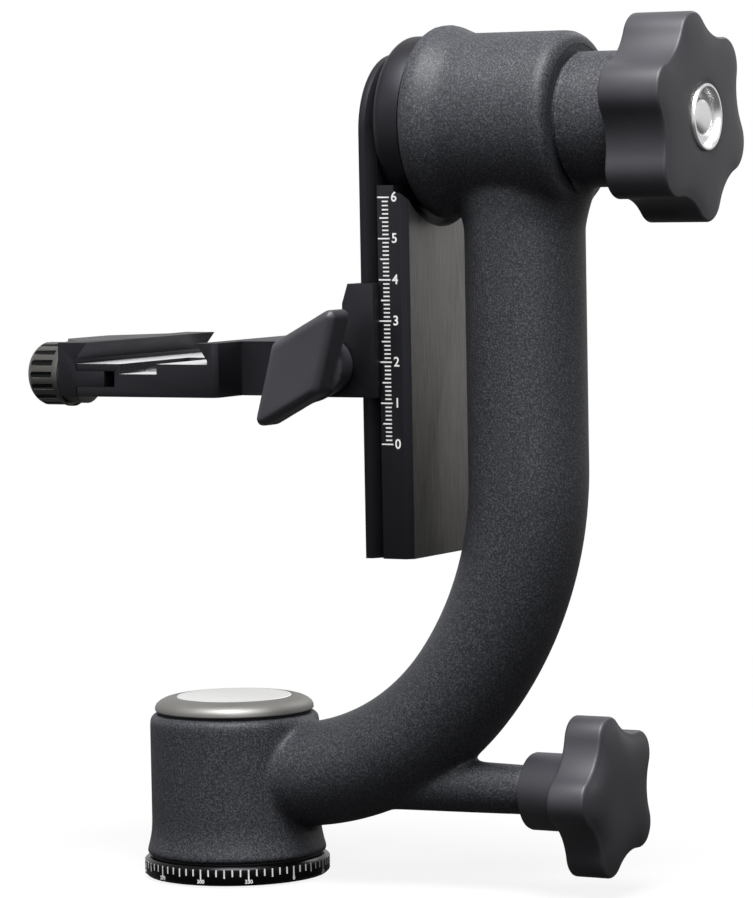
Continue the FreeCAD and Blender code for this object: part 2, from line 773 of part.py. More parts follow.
def lobed_knob(body, height, start, thickness, dome, points, dome_foot):
    """A moulded knob: the lobed outline, broken at both rims, with a low cone on its face."""
    outline = draw_outline(body, "YZ_Plane", points, (0, height, start))
    pad = extrude(body, outline, thickness)
    front = start + thickness
    rims = edges_where(pad.Shape, lambda edge: is_flat_at(edge, front) or is_flat_at(edge, start))
    soften(body, pad, rims, d.knob_edge, "PartDesign::Chamfer")
    turn(body, "X", [
        (front - 1.0, 0), (front - 1.0, dome_foot), (front, dome_foot),
        (front + dome, d.knob_cup_radius + 1.5), (front + dome, 0)], height=height)


def is_flat_at(edge, reach):
    box = edge.BoundBox
    return abs(box.XMin - reach.value) < 0.001 and abs(box.XMax - reach.value) < 0.001


def pan_lock_knob():
    """Five-lobed knob with a round hub, on the pan lock's screw."""
    body = new_body("pan_lock_knob")
    points = lobe_points(d.pan_knob_radius, d.pan_knob_waist, d.pan_lobe_tip, d.pan_knob_lobes,
                         d.pan_knob_phase)
    lobed_knob(body, d.lock_height, d.pan_knob_start, d.pan_knob_thickness, d.pan_knob_dome, points,
               d.pan_knob_waist - d.knob_edge - 0.6)
    hub_start = d.boss_end + d.face_gap
    turn(body, "X", [
        (hub_start, 0), (hub_start, d.pan_hub_radius - 0.8), (hub_start + 0.8, d.pan_hub_radius),
        (d.pan_knob_start + 2.0, d.pan_hub_radius), (d.pan_knob_start + 2.0, 0)], height=d.lock_height)
    turn(body, "X", [
        (hub_start, 0), (hub_start, d.lock_screw_radius),
        (d.pan_knob_start + d.pan_knob_thickness - 2.0, d.lock_screw_radius),
        (d.pan_knob_start + d.pan_knob_thickness - 2.0, 0)], cut=True, height=d.lock_height)


# ---------------------------------------------------------------- tilt shaft and lock

def tilt_glide_washer():
    ring("tilt_glide_washer", "X", d.shaft_flange_radius + 0.5, d.disc_flange_radius - 0.4,
         d.disc_flange_face, d.head_start, edge=0.1, height=d.tilt_height)


def tilt_shaft():
    """Flanged shaft screwed into the swing arm, through both bearings to the lock knob."""
    body = new_body("tilt_shaft")
    flange_start = d.disc_flange_face - d.shaft_flange_thickness
    step = d.neck_end - 2.0
    turn(body, "X", [
        (flange_start, 0), (flange_start, d.shaft_flange_radius), (d.disc_flange_face, d.shaft_flange_radius),
        (d.disc_flange_face, d.spindle_step_radius), (d.left_bearing_start, d.spindle_step_radius),
        (d.left_bearing_start, d.spindle_radius), (step, d.spindle_radius),
        (step, d.tilt_thread_radius), (d.tilt_thread_end - 0.6, d.tilt_thread_radius),
        (d.tilt_thread_end, d.tilt_thread_radius - 0.6), (d.tilt_thread_end, 0)], height=d.tilt_height)
    hole = turn(body, "X", [
        (flange_start, 0), (flange_start, d.shaft_screw_radius), (d.disc_flange_face, d.shaft_screw_radius),
        (d.disc_flange_face, 0)], cut=True, height=d.tilt_height + d.shaft_screw_circle)
    centre = new_sketch(body, "XZ_Plane", (0, d.tilt_height, 0))
    repeat_round(body, hole, centre, d.shaft_screw_count, "H_Axis")


def tilt_shaft_screws():
    """Countersunk screws that hold the shaft's flange in the swing arm."""
    body = new_body("tilt_shaft_screws")
    sunk = 0.3
    start = d.rail_start + sunk
    tip = d.disc_flange_face - 0.3
    screw = turn(body, "X", [
        (start, 0), (start, d.shaft_screw_head - sunk - 0.1),
        (d.rail_start + d.shaft_screw_head - d.shaft_screw_radius, d.shaft_screw_radius - 0.1),
        (tip, d.shaft_screw_radius - 0.1), (tip, 0)], height=d.tilt_height + d.shaft_screw_circle)
    centre = new_sketch(body, "XZ_Plane", (0, d.tilt_height, 0))
    repeat_round(body, screw, centre, d.shaft_screw_count, "H_Axis")


def tilt_thrust_washer():
    """Steel washer between the right bearing and the knob's hub."""
    start = d.right_bearing_start + d.bearing_width
    ring("tilt_thrust_washer", "X", d.spindle_radius + d.running_fit * 2, d.bearing_outer_radius - 0.2,
         start, start + d.thrust_thickness, height=d.tilt_height)


def tilt_lock_knob():
    """Large six-lobed knob whose hub presses the bearings together and so locks the tilt."""
    body = new_body("tilt_lock_knob")
    face = d.tilt_knob_face
    points = lobe_points(d.tilt_knob_radius, d.tilt_knob_waist, d.tilt_lobe_tip, d.tilt_knob_lobes,
                         d.tilt_knob_phase)
    lobed_knob(body, d.tilt_height, d.tilt_knob_start, d.tilt_knob_thickness, d.tilt_knob_dome, points,
               d.tilt_knob_waist - d.knob_edge - 0.6)
    hub_start = d.neck_end + d.face_gap
    spigot_start = d.right_bearing_start + d.bearing_width + d.thrust_thickness
    spigot = d.bearing_outer_radius - 0.2
    turn(body, "X", [
        (spigot_start, 0), (spigot_start, spigot), (hub_start, spigot), (hub_start, d.tilt_hub_radius),
        (d.tilt_knob_start + 2.0, d.tilt_hub_radius), (d.tilt_knob_start + 2.0, 0)],
        height=d.tilt_height)
    turn(body, "X", [
        (spigot_start, 0), (spigot_start, d.spindle_radius + 0.3), (d.neck_end + 2.0, d.spindle_radius + 0.3),
        (d.neck_end + 2.0, d.knob_bush_radius), (face - d.knob_cup_depth, d.knob_bush_radius),
        (face - d.knob_cup_depth, d.knob_cup_radius), (face, d.knob_cup_radius), (face, 0)],
        cut=True, height=d.tilt_height)


def tilt_knob_bush():
    """Threaded brass bush moulded into the knob."""
    face = d.tilt_knob_face
    ring("tilt_knob_bush", "X", d.tilt_thread_radius, d.knob_bush_radius, d.neck_end + 2.0,
         face - d.knob_cup_depth, height=d.tilt_height)


def tilt_knob_cap():
    """Bright cup and domed screw head in the middle of the knob's face."""
    body = new_body("tilt_knob_cap")
    face = d.tilt_knob_face
    base = face - d.knob_cup_depth
    rim = d.knob_cup_radius
    turn(body, "X", [
        (base, 0), (base, rim), (face + 0.1, rim), (face + 0.1, rim - 0.9), (face - 1.5, rim - 1.9),
        (face - 1.5, rim * 0.52), (face - 0.9, rim * 0.46, -rim * 0.9), (face - 0.2, 0)],
        height=d.tilt_height)


# ---------------------------------------------------------------- swing arm

def swing_arm():
    """Extruded bar with a dovetail rail along one side, rounded over at the tilt shaft's flange."""
    body = new_body("swing_arm")
    half, deep = d.rail_half_width, d.rail_half_width - d.rail_groove_depth
    lip_end = d.rail_start + d.rail_lip
    groove_middle = lip_end + d.rail_groove_width / 2
    rail = draw_outline(body, "XY_Plane", [
        (d.rail_start, -half), (lip_end, -half), (groove_middle, -deep), (d.rail_end, -half),
        (d.rail_end, half), (groove_middle, deep), (lip_end, half), (d.rail_start, half)],
        (0, 0, d.bar_bottom))
    extrude(body, rail, d.rail_top - d.bar_bottom)
    bar = draw_outline(body, "XY_Plane", [
        (d.rail_end, -half), (d.bar_face - d.bar_chamfer, -half), (d.bar_face, -half + d.bar_chamfer),
        (d.bar_face, half - d.bar_chamfer), (d.bar_face - d.bar_chamfer, half), (d.rail_end, half)],
        (0, 0, d.bar_bottom))
    extrude(body, bar, d.bar_top - d.bar_bottom)
    turn(body, "X", [
        (d.rail_start, 0), (d.rail_start, half), (lip_end, half), (groove_middle, deep),
        (d.rail_end, half), (d.rail_end, 0)], height=d.rail_top)
    turn(body, "X", [
        (d.rail_end - 0.6, 0),
        (d.rail_end - 0.6, d.disc_flange_radius - d.disc_flange_edge, -d.disc_flange_edge),
        (d.rail_end - 0.6 + d.disc_flange_edge, d.disc_flange_radius),
        (d.disc_flange_face, d.disc_flange_radius), (d.disc_flange_face, 0)], height=d.tilt_height)
    cut_for_rim(body)
    cut_for_shaft(body)


def cut_for_rim(body):
    """Hollow in the bar's right side, so that the casting's rim turns clear of it."""
    start = d.head_start - 3.0
    turn(body, "X", [
        (start, d.disc_flange_radius), (d.bar_face + 1.0, d.disc_flange_radius),
        (d.bar_face + 1.0, d.rim_clearance_radius), (start, d.rim_clearance_radius)],
        cut=True, height=d.tilt_height)
    turn(body, "X", [
        (d.disc_flange_face, 0), (d.disc_flange_face, d.disc_flange_radius + 0.1),
        (d.bar_face + 1.0, d.disc_flange_radius + 0.1), (d.bar_face + 1.0, 0)],
        cut=True, height=d.tilt_height)


def cut_for_shaft(body):
    """Seat for the shaft's flange and the countersunk holes behind it."""
    seat = d.disc_flange_face - d.shaft_flange_thickness
    turn(body, "X", [
        (seat, 0), (seat, d.shaft_flange_radius + 0.02), (d.disc_flange_face, d.shaft_flange_radius + 0.02),
        (d.disc_flange_face, 0)], cut=True, height=d.tilt_height)
    hole = turn(body, "X", [
        (d.rail_start, 0), (d.rail_start, d.shaft_screw_head),
        (d.rail_start + d.shaft_screw_head - d.shaft_screw_radius, d.shaft_screw_radius),
        (seat, d.shaft_screw_radius), (seat, 0)], cut=True, height=d.tilt_height + d.shaft_screw_circle)
    centre = new_sketch(body, "XZ_Plane", (0, d.tilt_height, 0))
    repeat_round(body, hole, centre, d.shaft_screw_count, "H_Axis")


# ---------------------------------------------------------------- platform

def platform():
    """One milled piece: the clamp's fixed side, the arm, and the block that grips the rail."""
    body = new_body("platform")
    clamp_bed(body)
    clamp_cuts(body)
    platform_arm(body)
    rail_block(body)
    platform_bores(body)


def clamp_bed(body):
    """Floor and fixed lip of the plate channel, as long as the clamp."""
    bed = draw_outline(body, "XZ_Plane", [
        (d.floor_left, d.platform_low), (d.clamp_right, d.platform_low), (d.clamp_right, d.platform_top),
        (d.channel_right_lip, d.platform_top),
        (d.floor_right, d.platform_top - d.channel_undercut - d.lip_land),
        (d.floor_right, d.channel_floor), (d.floor_left, d.channel_floor)])
    pad = extrude(body, bed, d.clamp_half_length * 2, middle=True)
    corners = edges_where(pad.Shape, lambda edge: is_upright_at(edge, d.clamp_right))
    soften(body, pad, corners, d.arm_corner, "PartDesign::Chamfer")


def is_upright_at(edge, reach):
    box = edge.BoundBox
    return abs(box.XMin - reach.value) < 0.01 and box.XLength < 0.01 and box.YLength < 0.01


def clamp_cuts(body):
    """The slot that the jaw's tongue runs in, and a relief in the channel's floor."""
    slot_end = d.floor_left + d.tongue_slot_reach
    slot_top = d.tongue_base + d.tongue_thickness
    slot = draw_outline(body, "XZ_Plane", [
        (d.floor_left - 1.0, d.tongue_base), (slot_end, d.tongue_base),
        (slot_end, slot_top), (d.floor_left - 1.0, slot_top)])
    extrude(body, slot, d.clamp_half_length * 2 + 1.0, cut=True, middle=True)
    relief_right = d.relief_left + d.relief_width
    relief_back = d.relief_length - d.clamp_half_length
    relief = draw_outline(body, "XY_Plane", [
        (d.relief_left, -d.clamp_half_length - 1.0), (relief_right, -d.clamp_half_length - 1.0),
        (relief_right, relief_back), (d.relief_left, relief_back)], (0, 0, d.channel_floor + 0.5))
    extrude(body, relief, d.relief_depth + 0.5, cut=True)


def platform_arm(body):
    """Narrower arm from the clamp to the swing arm."""
    arm = draw_outline(body, "XY_Plane", [
        (d.clamp_right - 1.0, -d.platform_half_width), (d.block_start + 1.0, -d.platform_half_width),
        (d.block_start + 1.0, d.platform_half_width), (d.clamp_right - 1.0, d.platform_half_width)],
        (0, 0, d.platform_low))
    extrude(body, arm, d.platform_thickness)


def rail_block(body):
    """Upright block against the rail, with the fixed jaw that reaches round its far edge."""
    outer = d.rail_half_width + d.slide_fit + d.jaw_wall
    top = d.platform_low + d.block_height
    block = draw_outline(body, "XZ_Plane", [
        (d.block_start, d.platform_low), (d.block_end, d.platform_low), (d.block_end, top),
        (d.block_start + d.block_chamfer, top), (d.block_start, top - d.block_chamfer * 3.0)],
        (0, 0, -outer))
    extrude(body, block, d.platform_half_width + outer)
    jaw = jaw_outline(body, 1)
    extrude(body, jaw, d.block_height)


def jaw_outline(body, side):
    """Cross-section of a jaw whose nose runs in the rail's groove; side is +1 for the far jaw."""
    inner = d.rail_half_width + d.slide_fit
    outer = inner + d.jaw_wall
    lip_end = d.rail_start + d.rail_lip
    nose = d.rail_half_width - d.rail_groove_depth + d.slide_fit * 1.5
    middle = lip_end + d.rail_groove_width / 2
    reach = d.rail_end + 0.2
    points = [(d.block_end - 0.6, inner), (lip_end + 0.3, inner), (middle, nose),
              (d.rail_end - 0.3, inner), (reach, inner), (reach, outer), (d.block_end - 0.6, outer)]
    if side < 0:
        points = [(across, -depth) for across, depth in reversed(points)]
    return draw_outline(body, "XY_Plane", points, (0, 0, d.platform_low))


def platform_bores(body):
    """Holes for the wing stud, the clamp screw and the jaw's guide pins."""
    turn(body, "Y", [
        (-d.platform_half_width, 0), (-d.platform_half_width, d.wing_stud_radius), (2.0, d.wing_stud_radius),
        (2.0, 0)], cut=True, height=d.wing_height, across=d.wing_axis_reach)
    slot_end = d.floor_left + d.tongue_slot_reach
    pocket_start = d.floor_left + d.tongue_reach
    pocket_radius = d.spring_radius + d.spring_wire + 0.1
    turn(body, "X", [
        (d.floor_left - 1.0, 0), (d.floor_left - 1.0, d.clamp_screw_radius),
        (pocket_start, d.clamp_screw_radius),
        (pocket_start, pocket_radius), (slot_end + d.spring_pocket, pocket_radius),
        (slot_end + d.spring_pocket, d.clamp_screw_radius), (d.screw_end + 1.0, d.clamp_screw_radius),
        (d.screw_end + 1.0, 0)], cut=True, height=d.clamp_screw_height)
    pin_end = d.jaw_left + d.guide_pin_length + 3.0
    for side in (-1, 1):
        hole = draw_circle(body, "YZ_Plane", (d.guide_pin_spacing * side, d.pin_height),
                           d.guide_pin_radius + d.running_fit, (0, 0, slot_end - 0.5))
        extrude(body, hole, pin_end - slot_end + 0.5, cut=True, reversed_way=True)
    for reach, height in dowel_places():
        turn(body, "Y", [
            (-d.platform_half_width, 0), (-d.platform_half_width, d.dowel_radius),
            (d.dowel_end, d.dowel_radius), (d.dowel_end, 0)], cut=True, height=height, across=reach)


def dowel_places():
    """Reach and height of the two pins that keep the loose jaw square."""
    return ((d.wing_axis_reach - d.dowel_setback, d.platform_low + d.dowel_rise),
            (d.block_end - d.block_thickness / 2, d.platform_low + d.block_height * 0.78))


def rail_jaw():
    """Loose jaw on the wing knob's side, drawn against the rail by the stud."""
    body = new_body("rail_jaw")
    inner = d.platform_half_width + d.slide_fit
    outer = d.rail_half_width + d.slide_fit + d.jaw_wall
    plate_start = d.wing_axis_reach - d.jaw_plate_reach
    plate = draw_outline(body, "XZ_Plane", [
        (plate_start, d.platform_low), (d.block_end, d.platform_low),
        (d.block_end, d.platform_low + d.block_height),
        (d.block_start + d.block_chamfer, d.platform_low + d.block_height),
        (d.block_start, d.platform_low + d.block_height - d.block_chamfer * 3.0),
        (d.block_start, d.platform_top), (plate_start, d.platform_top)], (0, 0, inner))
    extrude(body, plate, outer - inner)
    extrude(body, jaw_outline(body, -1), d.block_height)
    turn(body, "Y", [
        (-outer, 0), (-outer, d.wing_stud_radius + 0.05), (-inner, d.wing_stud_radius + 0.05), (-inner, 0)],
        cut=True, height=d.wing_height, across=d.wing_axis_reach)
    for reach, height in dowel_places():
        turn(body, "Y", [
            (-outer + 0.8, 0), (-outer + 0.8, d.dowel_radius + d.running_fit),
            (-inner, d.dowel_radius + d.running_fit), (-inner, 0)], cut=True, height=height, across=reach)


def wing_stud():
    """Steel stud moulded into the wing knob."""
    outer = d.rail_half_width + d.slide_fit + d.jaw_wall
    rod("wing_stud", "Y", d.wing_stud_radius - 0.03, -outer - d.wing_hub_length - 4.0, as_size(0),
        height=d.wing_height, across=d.wing_axis_reach)


def wing_lock_knob():
    """Slanting wing on a tapered hub, gripped between finger and thumb."""
    body = new_body("wing_lock_knob")
    outer = d.rail_half_width + d.slide_fit + d.jaw_wall
    hub_start = -(outer + d.face_gap)
    wing_back = -(outer + d.wing_hub_length)
    right_x, high_z = (d.wing_width + d.wing_side_lean) / 2, (d.wing_rise + d.wing_side) / 2
    left_x, low_z = (d.wing_width - d.wing_side_lean) / 2, (d.wing_side - d.wing_rise) / 2
    wing = draw_outline(body, "XZ_Plane", [
        (-right_x, -high_z), (left_x, -low_z), (right_x, high_z), (-left_x, low_z)],
        (d.wing_axis_reach, d.wing_height, -wing_back))
    pad = extrude(body, wing, d.wing_thickness)
    lines = edges_where(pad.Shape, lambda edge: edge.BoundBox.YLength > d.wing_thickness.value - 0.01)
    corners = soften(body, pad, lines, d.wing_corner)
    rims = edges_where(corners.Shape, lambda edge: edge.BoundBox.YLength < 0.001)
    soften(body, corners, rims, d.wing_edge, "PartDesign::Chamfer")
    turn(body, "Y", [
        (wing_back - 2.0, 0), (wing_back - 2.0, d.wing_hub_root_radius), (wing_back, d.wing_hub_root_radius),
        (hub_start, d.wing_hub_radius), (hub_start, 0)], height=d.wing_height, across=d.wing_axis_reach)
    turn(body, "Y", [
        (wing_back - 4.0, 0), (wing_back - 4.0, d.wing_stud_radius), (hub_start, d.wing_stud_radius),
        (hub_start, 0)], cut=True, height=d.wing_height, across=d.wing_axis_reach)


def rail_jaw_dowels():
    """Two pins that keep the loose jaw square to the platform."""
    body = new_body("rail_jaw_dowels")
    outer = d.rail_half_width + d.slide_fit + d.jaw_wall
    for reach, height in dowel_places():
        turn(body, "Y", [
            (-outer + 1.0, 0), (-outer + 1.0, d.dowel_radius), (d.dowel_end, d.dowel_radius),
            (d.dowel_end, 0)], height=height, across=reach)


# ---------------------------------------------------------------- plate clamp

def clamp_jaw():
    """Sliding jaw: an undercut lip, a tongue in the bed's slot, and a bulge for the screw."""
    body = new_body("clamp_jaw")
    lip = d.floor_left + d.channel_undercut
    back = d.floor_left - d.face_gap
    tongue_end = d.floor_left + d.tongue_reach
    tongue_low, tongue_top = d.tongue_base + 0.05, d.tongue_base + d.tongue_thickness - 0.05
    face = d.platform_top - d.channel_undercut - d.lip_land
    profile = draw_outline(body, "XZ_Plane", [
        (d.jaw_left, d.platform_low), (back, d.platform_low), (back, tongue_low), (tongue_end, tongue_low),
        (tongue_end, tongue_top), (back, tongue_top), (back, face), (lip, d.platform_top),
        (d.jaw_left, d.platform_top)])
    extrude(body, profile, d.clamp_half_length * 2, middle=True)
    bulge = draw_outline(body, "XY_Plane", [
        (d.jaw_left, -d.jaw_taper_half), (d.jaw_left, d.jaw_taper_half),
        (d.jaw_left - d.jaw_bulge, d.jaw_bulge_half), (d.jaw_left - d.jaw_bulge, -d.jaw_bulge_half)],
        (0, 0, d.platform_low))
    extrude(body, bulge, d.platform_thickness)
    turn(body, "X", [
        (d.jaw_left - d.jaw_bulge, 0), (d.jaw_left - d.jaw_bulge, d.clamp_screw_radius + 0.05),
        (tongue_end, d.clamp_screw_radius + 0.05), (tongue_end, 0)], cut=True, height=d.clamp_screw_height)
    for side in (-1, 1):
        hole = draw_circle(body, "YZ_Plane", (d.guide_pin_spacing * side, d.pin_height), d.guide_pin_radius,
                           (0, 0, d.jaw_left + 1.0))
        extrude(body, hole, tongue_end - d.jaw_left, cut=True, reversed_way=True)


def clamp_guide_pins():
    """Two steel pins pressed into the jaw, running in the bed."""
    body = new_body("clamp_guide_pins")
    for side in (-1, 1):
        pin = draw_circle(body, "YZ_Plane", (d.guide_pin_spacing * side, d.pin_height), d.guide_pin_radius,
                          (0, 0, d.jaw_left + 1.0))
        extrude(body, pin, d.guide_pin_length)


def clamp_spring():
    """Short coil spring round the clamp screw that pushes the jaw open."""
    start = (d.floor_left + d.tongue_reach).value + d.spring_wire.value + 0.1
    end = (d.floor_left + d.tongue_slot_reach + d.spring_pocket).value - d.spring_wire.value - 0.1
    radius = d.spring_radius.value
    wire = d.spring_wire.value
    helix = Part.makeHelix((end - start) / d.spring_turns.value, end - start, radius)
    corners = [Vector(radius - wire, 0, -wire), Vector(radius + wire, 0, -wire),
               Vector(radius + wire, 0, wire), Vector(radius - wire, 0, wire)]
    section = Part.makePolygon(corners + corners[:1])
    coil = Part.Wire(helix).makePipeShell([section], True, True)
    spring = doc.addObject("Part::Feature", "clamp_spring")
    spring.Label = "clamp_spring"
    spring.Shape = coil
    spring.Placement = FreeCAD.Placement(Vector(start, 0, d.clamp_screw_height.value),
                                         FreeCAD.Rotation(Vector(0, 1, 0), 90))


def clamp_screw():
    """Screw that draws the jaw to the bed, fixed in the clamp knob."""
    rod("clamp_screw", "X", d.clamp_screw_radius - 0.03, d.clamp_knob_end - d.clamp_knob_length + 4.0,
        d.screw_end, height=d.clamp_screw_height)


def clamp_knob():
    """Small fluted knob with a domed end and a collar against the jaw."""
    body = new_body("clamp_knob")
    inner = d.clamp_knob_end
    outer = inner - d.clamp_knob_length
    step = inner - d.clamp_collar_length
    height = d.clamp_screw_height
    dome_start = outer + d.dome_rise
    flute_end = dome_start + d.flute_length
    turn(body, "X", [
        (outer, 0), (outer, d.clamp_knob_radius - d.dome_inset, -d.dome_curve),
        (dome_start, d.clamp_knob_radius - 0.6),
        (dome_start + 0.6, d.clamp_knob_radius - 0.3), (flute_end, d.clamp_knob_radius - 0.3),
        (flute_end, d.clamp_knob_radius), (flute_end + 1.2, d.clamp_knob_radius),
        (step, d.clamp_knob_radius - 0.3), (step, d.clamp_collar_radius), (inner, d.clamp_collar_radius),
        (inner, 0)], height=height)
    place = d.clamp_knob_radius + 0.25
    flute = draw_circle(body, "YZ_Plane", (place, 0), d.flute_radius, (0, height, dome_start - 0.6))
    cut = extrude(body, flute, d.flute_length, cut=True, reversed_way=True)
    repeat_round(body, cut, flute, d.clamp_flutes, "N_Axis")
    turn(body, "X", [
        (outer + 4.0, 0), (outer + 4.0, d.clamp_screw_radius), (inner, d.clamp_screw_radius), (inner, 0)],
        cut=True, height=height)


# ---------------------------------------------------------------- build, test and write

def build_all():
    base_ring()
    base_screws()
    thread_insert()
    pan_spindle()
    sealed_bearing("pan_bearing_lower", "Z", d.lower_bearing_base)
    sealed_bearing("pan_bearing_upper", "Z", d.upper_bearing_base)
    spindle_nut()
    pan_glide_washer()
    main_arm()
    base_cap()
    cap_disc()
    pan_brake_pad()
    pan_lock_screw()
    pan_lock_knob()
    sealed_bearing("tilt_bearing_left", "X", d.left_bearing_start, d.tilt_height)
    sealed_bearing("tilt_bearing_right", "X", d.right_bearing_start, d.tilt_height)
    tilt_glide_washer()
    tilt_shaft()
    tilt_shaft_screws()
    tilt_thrust_washer()
    tilt_lock_knob()
    tilt_knob_bush()
    tilt_knob_cap()
    swing_arm()
    platform()
    rail_jaw()
    rail_jaw_dowels()
    wing_stud()
    wing_lock_knob()
    clamp_jaw()
    clamp_guide_pins()
    clamp_spring()
    clamp_screw()
    clamp_knob()


def is_piece(item):
    return item.TypeId in ("PartDesign::Body", "Part::Feature")


def write_parts():
    """Check every object of the document, then write each piece as its own file."""
    doc.recompute()
    for item in doc.Objects:
        if "Invalid" in item.State or "Error" in item.State:
            raise ValueError(f"{item.Label} failed: {item.State}")
    os.makedirs("parts", exist_ok=True)
    for item in [item for item in doc.Objects if is_piece(item)]:
        if item.Shape.isNull() or not item.Shape.isValid():
            raise ValueError(f"{item.Label} has no valid shape")
        item.Shape.exportStep(f"parts/{item.Label}.step")
        print(f"{item.Label}: {len(item.Shape.Solids)} solid(s), {item.Shape.Volume:.0f} mm3")


build_all()
write_parts()
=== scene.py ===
# %% [markdown]
# # Dressing a gimbal tripod head
#
# A gimbal head carries a long lens at its balance point. A cast arm turns on a graduated base,
# a swing arm hangs from the arm's head, and a platform with a plate clamp slides on the swing
# arm's rail. The solids are fixed, so each step here gives one piece its finished shape or its
# finish and leaves its place alone.

# %% Load the frame
import math

import bpy
from mathutils import Matrix, Vector


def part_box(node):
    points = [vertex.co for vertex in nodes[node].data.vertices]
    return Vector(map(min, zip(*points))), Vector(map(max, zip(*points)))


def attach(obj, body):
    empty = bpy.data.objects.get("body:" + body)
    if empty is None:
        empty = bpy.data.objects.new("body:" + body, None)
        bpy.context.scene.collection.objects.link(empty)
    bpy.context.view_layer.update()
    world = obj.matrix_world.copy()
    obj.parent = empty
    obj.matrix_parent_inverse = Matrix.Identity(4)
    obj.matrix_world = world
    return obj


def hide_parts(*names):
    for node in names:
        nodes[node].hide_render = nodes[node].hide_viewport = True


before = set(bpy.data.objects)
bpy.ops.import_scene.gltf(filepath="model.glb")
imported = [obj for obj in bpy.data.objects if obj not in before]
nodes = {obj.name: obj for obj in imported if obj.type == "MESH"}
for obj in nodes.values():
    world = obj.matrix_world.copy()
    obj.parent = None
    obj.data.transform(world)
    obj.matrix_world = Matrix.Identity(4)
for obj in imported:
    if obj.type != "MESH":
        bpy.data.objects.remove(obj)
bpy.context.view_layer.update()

MM = 0.001

# %% Heights of the part's axes, in mm
TILT_HEIGHT = 189.1
PAN_LOCK_HEIGHT = 25.4
CLAMP_HEIGHT = 126.7
WING_HEIGHT = 130.6

# %% [markdown]
# ## Colour and nodes
#
# Colours are easiest to judge as the hex values of a paint chart, but Blender mixes light in
# linear numbers, so one function turns one into the other. A second one adds a shader node,
# sets its fields and sockets, and joins it to other nodes, so every material below reads as a
# short list of what it is made of.

# %% Colour and node helpers
def linear(hex_colour):
    """The linear RGBA of an sRGB hex colour."""
    values = [int(hex_colour[place:place + 2], 16) / 255 for place in (1, 3, 5)]
    return tuple(value / 12.92 if value <= 0.04045 else ((value + 0.055) / 1.055) ** 2.4
                 for value in values) + (1.0,)


def add_node(material, kind, fields=None, **sockets):
    """Add a node. A socket given a node's output is linked to it, anything else is its value.

    A socket is named with _ for each space, or numbered as in _0.
    """
    node = material.node_tree.nodes.new(kind)
    for name, value in (fields or {}).items():
        setattr(node, name, value)
    for name, value in sockets.items():
        key = int(name[1:]) if name[0] == "_" and name[1:].isdigit() else name.replace("_", " ")
        if isinstance(value, bpy.types.NodeSocket):
            material.node_tree.links.new(value, node.inputs[key])
        else:
            node.inputs[key].default_value = value
    return node


def new_material(name, hex_colour, metallic, roughness):
    """A material with its surface shader set, ready for patterns."""
    material = bpy.data.materials.new(name)
    material.use_nodes = True
    shader = material.node_tree.nodes["Principled BSDF"]
    shader.inputs["Base Color"].default_value = linear(hex_colour)
    shader.inputs["Metallic"].default_value = metallic
    shader.inputs["Roughness"].default_value = roughness
    return material, shader


def object_place(material):
    """The point on the piece, in the piece's own metres."""
    return add_node(material, "ShaderNodeTexCoord").outputs["Object"]


def noise(material, place, size, **settings):
    """A noise pattern with blotches of about a size in metres."""
    pattern = add_node(material, "ShaderNodeTexNoise", Vector=place, Scale=1 / size, **settings)
    return pattern.outputs["Fac"]


def set_colour(material, shader, value, stops):
    """Colour a surface by a pattern, with a ramp of (place, hex colour) stops."""
    ramp = add_node(material, "ShaderNodeValToRGB", Fac=value)
    elements = ramp.color_ramp.elements
    while len(elements) < len(stops):
        elements.new(0.5)
    for element, (place, hex_colour) in zip(elements, stops):
        element.position = place
        element.color = linear(hex_colour)
    material.node_tree.links.new(ramp.outputs["Color"], shader.inputs["Base Color"])


def set_roughness(material, shader, value, low, high):
    """Spread a pattern's 0 to 1 over a range of roughness."""
    spread = add_node(material, "ShaderNodeMapRange", Value=value, To_Min=low, To_Max=high)
    material.node_tree.links.new(spread.outputs["Result"], shader.inputs["Roughness"])


def set_bump(material, shader, height, depth, strength):
    """Let a pattern stand out of the surface by a depth in metres."""
    bump = add_node(material, "ShaderNodeBump", Strength=strength, Distance=depth, Height=height)
    material.node_tree.links.new(bump.outputs["Normal"], shader.inputs["Normal"])


# %% [markdown]
# ## Powder coat on the casting
#
# The casting is aluminium under a textured powder coat. The powder melts into grains about
# 0.4 mm across, which catch the light as a fine grey speckle over black. The speckle is partly the
# powder's own grain tone and partly painted highlight on the grains' tops and painted shade
# between them. Two noises make it: one for the grains, which also raises them, and a slower one
# for the uneven film.

# %% Textured powder coat
GRAIN = 0.42 * MM


def powder_coat():
    """Grains of powder, with painted shade between them and painted highlight on top, under a film
    of uneven gloss.
    """
    material, shader = new_material("textured_powder_coat", "#3c3c40", 0.0, 0.5)
    place = object_place(material)
    grain = noise(material, place, GRAIN, Detail=3.0, Roughness=0.62)
    film = noise(material, place, 14 * MM, Detail=2.0)
    # The grain ramp paints shade between the grains and highlight on their tops.
    set_colour(material, shader, grain, [(0.35, "#1d1d21"), (0.5, "#2f3035"), (0.66, "#55575d")])
    set_roughness(material, shader, film, 0.44, 0.58)
    shader.inputs["Specular IOR Level"].default_value = 0.35
    set_bump(material, shader, grain, 0.12 * MM, 0.6)
    return material


POWDER = powder_coat()
print("made", POWDER.name)
